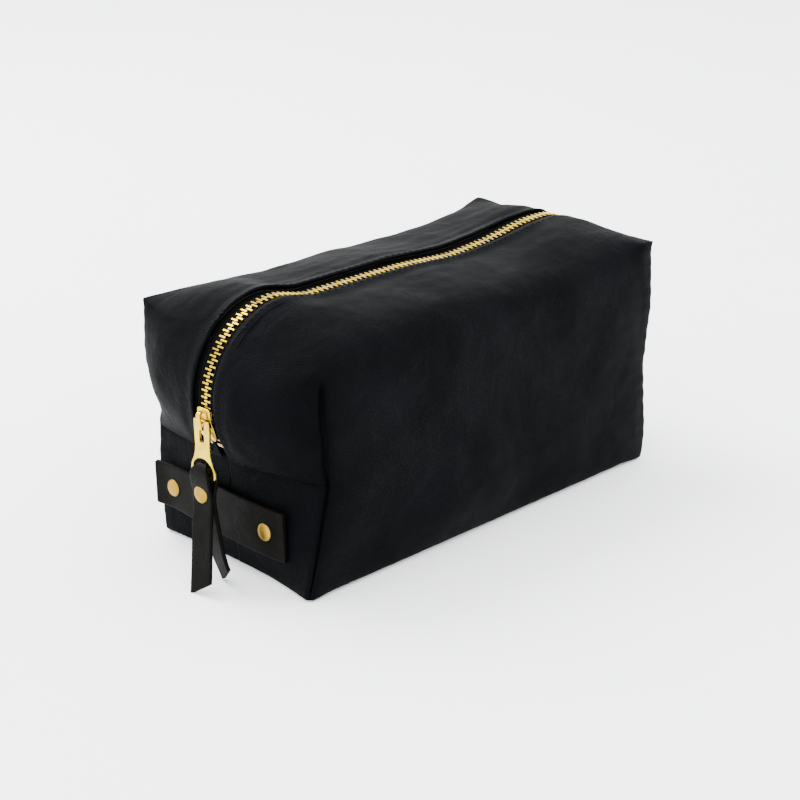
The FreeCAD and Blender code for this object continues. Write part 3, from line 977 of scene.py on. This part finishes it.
def band(name, line, across_dirs, width, thick, soft=0.35, slants=(0.0, 0.0), levels=1,
         widths=None):
    """A closed band in millimetres: width lies along across_dirs, slants skew its two ends."""
    line = np.array(line, float)
    count = len(line)
    acrosses = np.broadcast_to(np.array(across_dirs, float), (count, 3))
    at = np.arange(count, dtype=float)
    rows = np.concatenate([[0, 0.12], at[1:-1], [count - 1.12, count - 1]])
    sizes = np.interp(rows, at, np.ones(count) if widths is None else widths)
    acrosses = read_off(rows, at, acrosses)
    ways = read_off(rows, at, np.gradient(line, axis=0))
    line = read_off(rows, at, line)
    w, t = width / 2, thick / 2
    s = min(soft, t * 0.95)
    inner = np.linspace(-w + s, w - s, 7)
    side_w, side_t = w - 0.3 * s, t - 0.3 * s
    section = [(x, t) for x in inner] + [(side_w, side_t), (w, 0), (side_w, -side_t)]
    section += [(-x, -y) for x, y in section]
    m = len(section)
    points = []
    for i, (c, a, d) in enumerate(zip(line, acrosses, ways)):
        d = d / np.linalg.norm(d)
        a = a - d * np.dot(a, d)
        a = a / np.linalg.norm(a)
        n = np.cross(d, a)
        size = sizes[i]
        early = max(0.0, 1 - rows[i] / slant_rows)
        late = max(0.0, 1 - (count - 1 - rows[i]) / slant_rows)
        skew = (slants[1] * late - slants[0] * early) / width
        for x, y in section:
            points.append(c + a * (x * size) + n * y + d * (skew * x))
    faces, uvs = [], []
    run = running_length(line) * MM
    for i in range(len(line) - 1):
        for k in range(m):
            q = (k + 1) % m
            faces.append([i * m + k, i * m + q, (i + 1) * m + q, (i + 1) * m + k])
            u0, u1 = section[k][0] * MM, section[q][0] * MM
            uvs.extend([(u0, run[i]), (u1, run[i]), (u1, run[i + 1]), (u0, run[i + 1])])
    for start, flip in ((0, False), ((len(line) - 1) * m, True)):
        cap = [start + k for k in range(m)]
        faces.append(cap if flip else cap[::-1])
        order = range(m) if flip else reversed(range(m))
        uvs.extend([(section[k][0] * MM, section[k][1] * MM) for k in order])
    obj = face_outwards(new_object(name, points, faces, uvs))
    if levels:
        apply_modifier(obj, "SUBSURF", levels=levels)
    return obj


print("band helper ready")

# %% [markdown]
# ## Bound seams inside
# Inside, every raw seam is wrapped in tape. The tape stands a few millimetres in from its
# seam: one up each corner, one across each end and one along the base.

# %% Bound seams inside


def inward(side, end):
    """The level direction from a corner towards the middle of the bag."""
    return np.array([-side * 0.72, -end * 0.69, 0.0])


for side in (-1, 1):
    for end, word in ((-1, "front"), (1, "rear")):
        low, high = corner_line(side, end)
        line = np.vstack([low[1:], high[1:-8]])
        line = resample(line + inward(side, end) * 10.0, 34)
        piece = band(f"corner_binding_{word}_{hand[side]}", line, inward(side, end), 8.0, 1.6)
        nodes = [f"corner_binding_{word}_{hand[side]}_{level}" for level in ("lower", "upper")]
        finish_piece(piece, None, binding_finish, "binding", *nodes)
        fold_open(piece)

for end, word in ((-1, "front"), (1, "rear")):
    wall = 3 if end < 0 else 4
    seam = np.vstack([panels[-1][wall][0][::-1], panels[1][wall][0]])
    keep = seam[np.abs(seam[:, 0]) < 44]
    line = smooth_curve(keep[::3], 40) + np.array([0, -end * 8.6, -4.4])
    piece = band(f"end_binding_{word}", line, (0, end, 0.1), 7.0, 1.6)
    finish_piece(piece, "bag", binding_finish, "binding", f"end_binding_{word}")

base_line = [(0, y, 3.9) for y in np.linspace(-101, 101, 60)]
piece = band("base_seam_binding_tape", base_line, (1, 0, 0), 9.0, 1.2)
finish_piece(piece, "bag", binding_finish, "binding", "base_seam_binding")
print("bindings made")

# %% [markdown]
# ## The zip chain
# A metal zip is two woven tapes with a cord-like edge, and teeth crimped on that edge. Each
# tooth is a little clamp with a rounded nose; left and right teeth sit half a pitch apart,
# so the noses interlock. We model one tooth and set it along the path, spreading the rows
# apart where the wedge of the slider parts them.

# %% The path of the chain
pitch = 3.1
chain_depth = 1.55
chain_radius = bend_radius - chain_depth
rear_chain = rear_radius - chain_depth
front_turn = math.radians(115.2)
rear_turn = math.radians(114)
turned = front_turn * chain_radius
flat_run = bend_y + rear_y
total_run = turned + flat_run + rear_turn * rear_chain
slider_angle = 192.0


def chain_frame(s):
    """Point, direction and outward normal of the chain, s millimetres from its front stop."""
    if s < turned:
        a = math.pi / 2 + front_turn - s / chain_radius
        y = -bend_y + chain_radius * math.cos(a)
        z = bend_z + chain_radius * math.sin(a)
    elif s < turned + flat_run:
        a = math.pi / 2
        y = -bend_y + (s - turned)
        z = bend_z + chain_radius
    else:
        a = math.pi / 2 - (s - turned - flat_run) / rear_chain
        y = rear_y + rear_chain * math.cos(a)
        z = rear_z + rear_chain * math.sin(a)
    slope = sag(y + 0.5) - sag(y - 0.5)
    ahead = np.array([0, math.sin(a), slope * math.sin(a) - math.cos(a)])
    ahead /= np.linalg.norm(ahead)
    return np.array([0, y, z + sag(y)]), ahead, np.array([0, -ahead[2], ahead[1]])


def row_gap(s):
    """How far the wedge has pushed a row sideways at s."""
    start = (front_turn - math.radians(slider_angle + 1.0 - 90.0)) * chain_radius
    return 1.9 * clamp((start - s) / 2.9)


print("chain length, mm:", round(total_run, 1))

# %% [markdown]
# ## Teeth, tapes and stops
# The outline below is half a tooth: from its legs on the tape to its rounded nose. It is
# mirrored, stacked in four levels so that its edges are eased, and set once for each pitch.

# %% Teeth
tooth_half = [(3.05, 0.42), (2.4, 0.46), (1.5, 0.42), (0.9, 0.42), (0.35, 0.54), (-0.15, 0.58),
              (-0.62, 0.50), (-0.92, 0.28)]
tooth_outline = tooth_half + [(x, -s) for x, s in reversed(tooth_half)]
tooth_levels = [(-1.38, 0.78), (-1.18, 1.0), (1.18, 1.0), (1.38, 0.78)]
tooth_middle = 1.06


def tooth_row(name, side):
    """All the teeth of one row as one mesh."""
    points, faces = [], []
    first_tooth = 1.0 if side < 0 else 0.5
    for s in np.arange(first_tooth * pitch, total_run - 2, pitch):
        at, ahead, out = chain_frame(s)
        shift = row_gap(s)
        faces.extend(tube_faces(len(points), len(tooth_levels), len(tooth_outline)))
        for h, shrink in tooth_levels:
            for x, t in tooth_outline:
                x = tooth_middle + (x - tooth_middle) * (1 - (1 - shrink) * 0.35)
                x = side * (x + shift)
                points.append(at + np.array([x, 0, 0]) + ahead * (t * shrink) + out * h)
    return face_outwards(new_object(name, points, faces, smooth=False))


def tape_band(name, side):
    """One woven tape, from the front seam over the top and down to the rear seam."""
    lines = []
    rear_tail = 33.0
    rear_seam = np.array([0, rear_seam_y - 1.6, seam_z - 1.5])
    for s in np.linspace(-13.0, total_run + rear_tail, 260):
        at, ahead, out = chain_frame(min(total_run, max(0.0, s)))
        at = at + ahead * min(0.0, s)
        past = max(0.0, s - total_run)
        at = at + (rear_seam - at) * (past / rear_tail)
        edge = 1.0 + row_gap(s) - 0.75 * min(1.0, past / 4.0)
        lines.append(at + np.array([side * 0.5 * (12.9 + edge), 0, 0]))
    return band(name, lines, (side, 0, 0), 11.4, 0.5, soft=0.2, levels=0)


for side in (-1, 1):
    n = hand[side]
    row = tooth_row(f"tooth_row_{n}", side)
    finish_piece(row, None, teeth_finish, "brass", f"zip_teeth_{n}")
    fold_open(row)
    tape = tape_band(f"woven_tape_{n}", side)
    finish_piece(tape, None, tape_finish, "zip_tape", f"zip_tape_{n}")
    fold_open(tape)
    print("row", n, "has", len(row.data.vertices) // 64, "teeth")

at, ahead, out = chain_frame(total_run + 1.2)
stop_line = [at + out * h for h in (-1.5, -1.2, 0.0, 1.2, 1.5)]
stop = band("rear_stop_clamp", stop_line, (1, 0, 0), 6.4, 2.4, soft=0.4)
finish_piece(stop, "bag", teeth_finish, "brass", "rear_stop")

kept = {"front_stop_left": teeth_finish, "front_stop_right": teeth_finish}
kept.update({"strip_rivet_back_left": rivet_finish, "strip_rivet_back_right": rivet_finish})
for node, material in kept.items():
    metal_part = frame["nodes"][node]
    metal_part.data.materials.clear()
    metal_part.data.materials.append(material)
print("CAD pieces kept as they are:", len(kept))

# %% [markdown]
# ## Slider, pull and rivets
# The slider is cast brass: two rounded plates joined by a wedge, with a bridge on top for
# the pull. It rides on the bend of the zip, so its plates are drawn flat and then wrapped
# round that bend. The pull is stamped from sheet: a slotted top, a waist, and a fork whose
# bar carries the leather strap. Small rounded edges catch the light as real metal does.

# %% Flat plates with holes


def plate(name, loops, thick, bevel, place, cuts=()):
    """A flat plate with rounded edges and holes, moved into place point by point."""
    curve = bpy.data.curves.new(name, "CURVE")
    curve.dimensions = "2D"
    curve.fill_mode = "BOTH"
    curve.extrude = thick / 2 - bevel
    curve.bevel_depth = bevel
    curve.bevel_resolution = 2
    curve.offset = -bevel
    for loop in loops:
        spline = curve.splines.new("POLY")
        spline.points.add(len(loop) - 1)
        for point, (x, y) in zip(spline.points, loop):
            point.co = (x, y, 0, 1)
        spline.use_cyclic_u = True
    flat = in_scene(name, curve)
    deps = bpy.context.evaluated_depsgraph_get()
    mesh = bpy.data.meshes.new_from_object(flat.evaluated_get(deps))
    bpy.data.objects.remove(flat)

    def shape(bm):
        bmesh.ops.remove_doubles(bm, verts=bm.verts, dist=0.004)
        for cut in cuts:
            every = list(bm.verts) + list(bm.edges) + list(bm.faces)
            bmesh.ops.bisect_plane(bm, geom=every, plane_co=(0, cut, 0), plane_no=(0, 1, 0))
        for v in bm.verts:
            v.co = Vector(place(*v.co)) * MM
        bmesh.ops.recalc_face_normals(bm, faces=bm.faces)

    edit_mesh(mesh, shape)
    for p in mesh.polygons:
        p.use_smooth = True
    mesh.set_sharp_from_angle(angle=math.radians(32))
    return in_scene(name, mesh)


def mirrored(edge, count):
    """A closed outline from its smoothed right edge."""
    edge = [tuple(p) for p in smooth_curve(edge, count)]
    return edge + [(-x, y) for x, y in reversed(edge)]


def joined(name, pieces):
    """Several meshes as one object."""
    bm = bmesh.new()
    for piece in pieces:
        bm.from_mesh(piece.data)
    mesh = bpy.data.meshes.new(name)
    bm.to_mesh(mesh)
    bm.free()
    for piece in pieces:
        bpy.data.objects.remove(piece)
    return in_scene(name, mesh)


print("plate helpers ready")

# %% [markdown]
# ## Slider
# Two plates run above and below the teeth with a little air. Rims along their sides keep the
# tapes in, the wedge parts the rows, and the bridge over the top holds the pull.

# %% Slider
air = 0.35
tooth_face = bend_radius - 0.1
top_inside = tooth_face + air
low_outside = bend_radius - 2.9 - air
plate_thick = 1.2


def wrapped(radius):
    """Wrap a flat drawing round the bend at one radius."""
    def place(x, s, t):
        turn = math.radians(slider_angle) + s / bend_radius
        r = radius + t
        return (x, -bend_y + r * math.cos(turn), bend_z + r * math.sin(turn))
    return place


slider_outline = mirrored([(2.6, -8.2), (3.9, -7.7), (4.3, -6.4), (4.3, -2.6), (4.7, -0.6),
                           (5.15, 1.4), (5.2, 4.6), (4.9, 6.6), (4.0, 7.9), (2.6, 8.2),
                           (0.9, 7.5)], 44)
steps = np.arange(-7.5, 8.0, 1.0)
wedge = [(0.7, 7.4), (0.7, 5.2), (0.25, 4.2), (-0.25, 4.2), (-0.7, 5.2), (-0.7, 7.4)]
wedge_tall = top_inside - low_outside + 0.2
half_plate = plate_thick / 2
pieces = [
    plate("top", [slider_outline], plate_thick, 0.32, wrapped(top_inside + half_plate), steps),
    plate("low", [slider_outline], plate_thick, 0.32, wrapped(low_outside - half_plate), steps),
    plate("wedge", [wedge], wedge_tall, 0.1, wrapped(tooth_face - 1.4), steps),
]
for side in (-1, 1):
    flange = [(side * 3.45, -7.0), (side * 4.25, -7.0), (side * 4.25, -1.4), (side * 3.45, -1.4)]
    pieces.append(plate("rim", [flange], 1.3, 0.12, wrapped(top_inside - 0.5), steps))
    pieces.append(plate("rim", [flange], 1.2, 0.12, wrapped(low_outside + 0.45), steps))
slider = joined("slider_casting", pieces)
finish_piece(slider, "slider", brass_finish, "brass", "slider_body")

foot = top_inside + plate_thick - 0.2
roof = foot + 0.2 + 2.35 + 0.6
bridge_line = [(-6.55, foot), (-6.55, roof - 1.0), (-6.2, roof - 0.25), (-5.2, roof), (-2.7, roof),
               (-0.2, roof - 0.02), (0.75, roof - 0.3), (1.04, roof - 1.0), (1.04, foot)]
bridge_flat = smooth_curve(bridge_line, 44)
bridge_path = [wrapped(r)(0, s, 0) for s, r in bridge_flat]
bridge = band("slider_bridge", bridge_path, (1, 0, 0), 2.6, 1.15, soft=0.3)
finish_piece(bridge, "slider", brass_finish, "brass", "slider_crown")
leaf = [(-0.9, 2.3), (0.9, 2.3), (0.9, 6.6), (-0.9, 6.6)]
spring = plate("leaf_spring", [leaf], 0.45, 0.1, wrapped(top_inside + plate_thick + 0.28), steps)
finish_piece(spring, "slider", steel_finish, "spring_steel", "lock_spring")
print("slider", [round(1000 * v, 1) for v in slider.dimensions])

# %% [markdown]
# ## Pull
# The pull is drawn once, flat, from its hinge down to the bar that carries the strap. It
# hangs a little aslant, as a loose pull does.

# %% Pull
joints = {j["name"]: j for j in frame["record"]["behaviour"]["joints"]}
pull_top = np.array(joints["pull_tab"]["pos_m"]) / MM
ring_bar = np.array(joints["pull_strap"]["pos_m"]) / MM
pull_reach = np.linalg.norm(ring_bar - pull_top)
pull_down = (ring_bar - pull_top) / pull_reach
pull_out = np.array([0, pull_down[2], -pull_down[1]])
hole_half = 6.6
hole_middle = 22.3
bar_top = pull_reach - 1.0
swing = 0.105


def hanging(x, d, t):
    """Place the pull's drawing: x across, d down from the hinge, t out of its face."""
    return pull_top + np.array([x + swing * d, 0, 0]) + pull_down * d + pull_out * t


pull_outline = mirrored([(4.2, -0.8), (5.0, -0.55), (5.2, 0.3), (5.15, 3.0), (4.9, 7.5),
                         (4.78, 11.5), (5.15, 14.8), (6.3, 17.9), (7.6, 20.3), (8.15, 22.4),
                         (8.2, 24.4), (7.5, 25.2)], 60)
slot_loop = [(-1.65, 1.1), (-1.35, 0.8), (1.35, 0.8), (1.65, 1.1), (1.65, 9.0), (1.1, 9.6),
             (-1.1, 9.6), (-1.65, 9.0)]
arch = arc_points(0, hole_middle, hole_half, 185, 355, 27)
hole_loop = [(x, hole_middle + (y - hole_middle) * 0.8) for x, y in arch]
hole_loop += [(hole_half, bar_top - 0.7), (hole_half - 0.4, bar_top),
              (-hole_half + 0.4, bar_top), (-hole_half, bar_top - 0.7)]
pull = plate("zip_pull", [pull_outline, slot_loop, hole_loop], 1.6, 0.34, hanging,
             (2, 6, 10, 14, 18))
finish_piece(pull, "pull", brass_finish, "brass", "pull_tab")
print("pull", [round(1000 * v, 1) for v in pull.dimensions])

# %% [markdown]
# ## Rivets
# A rivet cap is a shallow dome turned round its axis, with its post behind it.

# %% Rivets
post_radius = 1.5
cap_profile = [(0.0, 1.32), (1.4, 1.30), (2.7, 1.21), (3.6, 1.02), (4.1, 0.74), (4.42, 0.38),
               (4.5, 0.08), (4.36, -0.02), (post_radius, -0.04)]


def rivet(name, at, out, scale, post):
    """A domed rivet cap with its post, turned round its own axis."""
    out = np.array(out, float) / np.linalg.norm(out)
    side_way = np.cross(out, (1.0, 0, 0))
    side_way = side_way / np.linalg.norm(side_way)
    up_way = np.cross(side_way, out)
    rings = [(r * scale if r > post_radius else r, h * scale) for r, h in cap_profile]
    rings.append((post_radius, -post))
    turns = 40
    points = [np.array(at) + out * rings[0][1]]
    for r, h in rings[1:]:
        for a in 2 * math.pi * np.arange(turns) / turns:
            round_way = side_way * math.cos(a) + up_way * math.sin(a)
            points.append(np.array(at) + out * h + round_way * r)
    tube = tube_faces(1, len(rings) - 1, turns)
    tube.pop(-2)
    faces = [[0, 1 + k, 1 + (k + 1) % turns] for k in range(turns)]
    return face_outwards(new_object(name, points, faces + tube))


print("a rivet cap is", 2 * cap_profile[6][0], "mm across")

# %% [markdown]
# ## Leather strap and strip
# The strap is one strip of leather folded over the pull's bar and riveted, with two tails
# that spread and twist a little, each cut at a slant. It narrows where it passes through the
# pull, because the sides of the opening press it.

# %% Strap
ring_y, ring_z = ring_bar[1], ring_bar[2]
rivet_z = ring_z - 9.5
leather_gap = 1.05
half_leather = 0.93
front_y, rear_y = ring_y - leather_gap, ring_y + leather_gap
over_bar = [(2.2, -leather_gap, rivet_z), (2.5, -2.2, 48.5), (2.6, -2.68, ring_z),
            (2.6, -2.1, ring_z + 3.0)]
strap_points = [
    (12.3, -12.3, 3.0), (9.0, -8.6, 14), (5.4, -4.6, 28), (3.4, -1.9, 37), *over_bar,
    (2.6, 0, ring_z + 4.7), *[(x, -y, z) for x, y, z in reversed(over_bar)],
    (2.6, 1.15, 37), (4.4, 1.6, 28), (7.4, 2.2, 15), (12.2, 2.8, 4.6)]
strap_line = smooth_curve(strap_points, 110) + np.array([0, ring_y, 0])
strap_across = []
strap_wide = []
for k, (x, y, z) in enumerate(strap_line):
    below = max(0.0, (rivet_z - z) / rivet_z)
    twist = math.radians(-2 if k < len(strap_line) / 2 else 17) * below
    strap_across.append((math.cos(twist), -math.sin(twist), 0))
    over = clamp((z - ring_z + 0.8) / 5.6)
    strap_wide.append(math.sqrt(1.0 - 0.9 * over ** 2))
strap = band("leather_strap", strap_line, strap_across, 12.7, 1.9, 0.45, (-4.6, -4.4),
             widths=strap_wide)
finish_piece(strap, "strap", leather_finish, "leather", "pull_strap")
for word, end, y, scale, post in (("front", -1, front_y, 0.98, 3.9),
                                  ("rear", 1, rear_y, 0.86, 0.3)):
    at = (2.2, y + end * half_leather, rivet_z)
    cap = rivet(f"strap_cap_{word}", at, (0, end, 0), scale, post)
    finish_piece(cap, "strap", rivet_finish, "rivet_brass", f"strap_rivet_{word}")
print("strap, mm:", [round(1000 * v, 1) for v in strap.dimensions])

# %% [markdown]
# ## Leather strip
# The wide strip is riveted to the lower end. We feel for the cloth with rays, pull the strip
# straight between the bulges it touches, and let its left end curl away, as thick leather
# does.

# %% End strip
deps = bpy.context.evaluated_depsgraph_get()
trees = [BVHTree.FromObject(shells[side], deps) for side in (-1, 1)]


def cloth_front(x, z):
    """How far out the front end of the cloth reaches at one place, in millimetres."""
    best = None
    for tree in trees:
        hit = tree.ray_cast(Vector((x, -200, z)) * MM, Vector((0, 1, 0)))[0]
        if hit is not None and (best is None or hit.y < best):
            best = hit.y
    return -100.0 if best is None else best / MM


strip_low, strip_high = span("end_strip", 0)
strip_z = 0.5 * sum(span("end_strip", 2))
strip_width = 25.4
strip_line = []
for x in np.linspace(strip_low + 3.5, strip_high - 3.0, 40):
    inside = min(max(x, -50.0), 50.0)
    nearest = min(cloth_front(inside, strip_z + dz) for dz in (-11, -6, 0, 6, 11))
    strip_line.append([x, nearest - 1.5, strip_z])
strip_line = np.array(strip_line)


def taut(line):
    """Pull the strip straight between the places where the cloth pushes it out."""
    hull = []
    for x, y in line[:, :2]:
        while len(hull) > 1:
            (x0, y0), (x1, y1) = hull[-2:]
            if (x1 - x0) * (y - y0) - (y1 - y0) * (x - x0) > 0:
                break
            hull.pop()
        hull.append((x, y))
    hull = np.array(hull)
    return np.interp(line[:, 0], hull[:, 0], hull[:, 1])


strip_line[:, 1] = taut(strip_line)
strip_line[:, 1] = np.convolve(np.pad(strip_line[:, 1], 3, mode="edge"), np.ones(7) / 7, "valid")
left_free = np.clip((strip_low + 14 - strip_line[:, 0]) / 14, 0, 1)
strip_line[:, 1] -= 3.2 * left_free ** 1.6
strip_lean = (0, -0.06, 1)
strip_wide = np.interp(strip_line[:, 0], (strip_low, strip_low + 50), (0.88, 1.0))
strip_line[:, 2] += np.interp(strip_line[:, 0], (strip_low, strip_low + 60), (2.2, 0.3))
strip = band("leather_strip", strip_line, strip_lean, strip_width, 2.2, 0.45,
             widths=strip_wide)
finish_piece(strip, "bag", leather_finish, "leather", "end_strip")
for word in ("left", "right"):
    x = 0.5 * sum(span(f"strip_rivet_{word}", 0))
    y = float(np.interp(x, strip_line[:, 0], strip_line[:, 1]))
    z = float(np.interp(x, strip_line[:, 0], strip_line[:, 2]))
    cap = rivet(f"strip_cap_{word}", (x, y - 1.08, z), (0, -1, 0.04), 0.95, 5.0)
    finish_piece(cap, "bag", rivet_finish, "rivet_brass", f"strip_rivet_{word}")
    print("strip rivet", word, round(x, 1), round(y, 1))
print("strip y", [round(float(v), 1) for v in strip_line[::6, 1]])

# %% [markdown]
# ## Stitches
# Each canvas edge beside the zip is turned under and held by one row of black stitches.
# They sink into the cloth a little. Every stitch is a tiny spindle laid along the surface.

# %% Stitches


stitch_length = 2.9
stitch_gap = 1.3
stitch_radius = 0.32
stitch_rows = [(-0.5, 0.12, -0.9), (-0.4, 0.75, -0.2), (-0.15, 1.0, 0.15), (0.15, 1.0, 0.15),
               (0.4, 0.75, -0.2), (0.5, 0.12, -0.9)]


def stitches(name, tree, line):
    """A row of stitches on the nearest cloth surface."""
    along = running_length(line)
    points, faces = [], []
    at = 0.5 * stitch_gap
    while at + stitch_length < along[-1]:
        mid, ahead = read_off([at + stitch_length / 2, at + stitch_length], along, line)
        hit, normal, face, far = tree.find_nearest(Vector(mid) * MM)
        at += stitch_length + stitch_gap
        if hit is None:
            continue
        hit = np.array(hit) / MM
        n = np.array(normal)
        d = ahead - mid
        d = d - n * np.dot(d, n)
        d = d / np.linalg.norm(d)
        c = np.cross(n, d)
        faces.extend(tube_faces(len(points), len(stitch_rows), 6))
        for run, size, height in stitch_rows:
            centre_point = hit + n * (0.02 + height * stitch_radius) + d * (run * stitch_length)
            for a in math.pi * np.arange(6) / 3:
                off = c * math.cos(a) + n * math.sin(a) * 0.8
                points.append(centre_point + off * stitch_radius * size)
    return face_outwards(new_object(name, points, faces))


for side in (-1, 1):
    tree = trees[0 if side < 0 else 1]
    line = []
    for s in np.linspace(1, total_run + 3, 320):
        at, ahead, out = chain_frame(s)
        line.append(at + out * chain_depth + np.array([side * (slot_x + 3.0), 0, 0]))
    row = stitches(f"zip_stitches_{hand[side]}", tree, line)
    finish_piece(row, None, thread_finish, None)
    fold_open(row)
print("stitching laid")

# %% [markdown]
# ## Camera, floor and light
# The bag stands on a pale floor in soft studio light. A large bright sky fills the shadows,
# and one big lamp on the left, above the bag, gives the soft shadow to its right. The camera
# looks down on the front corner from the right.

# %% Camera
camera_turn = math.radians(44.6)
camera_rise = math.radians(21.54)
camera_distance = 0.9397
back = Vector((math.sin(camera_turn) * math.cos(camera_rise),
               -math.cos(camera_turn) * math.cos(camera_rise), math.sin(camera_rise)))
right_way = Vector((math.cos(camera_turn), math.sin(camera_turn), 0))
up_way = back.cross(right_way)
aim = right_way * -0.00341 + up_way * 0.04707
camera_data = bpy.data.cameras.new("camera")
camera_data.lens = 83.1
camera = in_scene("camera", camera_data)
camera.location = aim + back * camera_distance
camera.rotation_euler = back.to_track_quat("Z", "Y").to_euler()
bpy.context.scene.camera = camera
print("camera at", [round(v, 2) for v in camera.location])

# %% [markdown]
# ## Floor and light
# The floor is matt paper with faint fibres. The sky is bright and slightly cool, and the
# weak lamp in front lifts the leather and the pull out of the shadow.

# %% Floor and light
floor_mesh = bpy.data.meshes.new("floor")
floor_mesh.from_pydata([(-4, -4, 0), (4, -4, 0), (4, 4, 0), (-4, 4, 0)], [], [(0, 1, 2, 3)])
floor = in_scene("floor", floor_mesh)
paper = Finish("pale_paper", (0.93, 0.935, 0.94), 0.9, shine=0.1)
fibres = paper.cloud(paper.place(9), detail=5.0, rough=0.6)
paper.colour(paper.tint(((0.905, 0.91, 0.915), (0.95, 0.953, 0.955)), fibres))
floor.data.materials.append(paper.mat)

world = bpy.data.worlds.new("studio")
world.use_nodes = True
sky = world.node_tree.nodes["Background"]
sky.inputs["Color"].default_value = (0.97, 0.985, 1.0, 1)
sky.inputs["Strength"].default_value = 4.3
bpy.context.scene.world = world


def lamp(name, place, energy, size):
    """A square studio lamp aimed at the bag."""
    data = bpy.data.lights.new(name, "AREA")
    data.energy = energy
    data.size = size
    obj = in_scene(name, data)
    obj.location = place
    back_way = Vector(place) - Vector((0, 0, 0.06))
    obj.rotation_euler = back_way.to_track_quat("Z", "Y").to_euler()


lamp("key", (-1.0, -0.15, 1.35), 52, 0.9)
lamp("front_fill", (0.25, -1.5, 0.9), 3.0, 1.2)
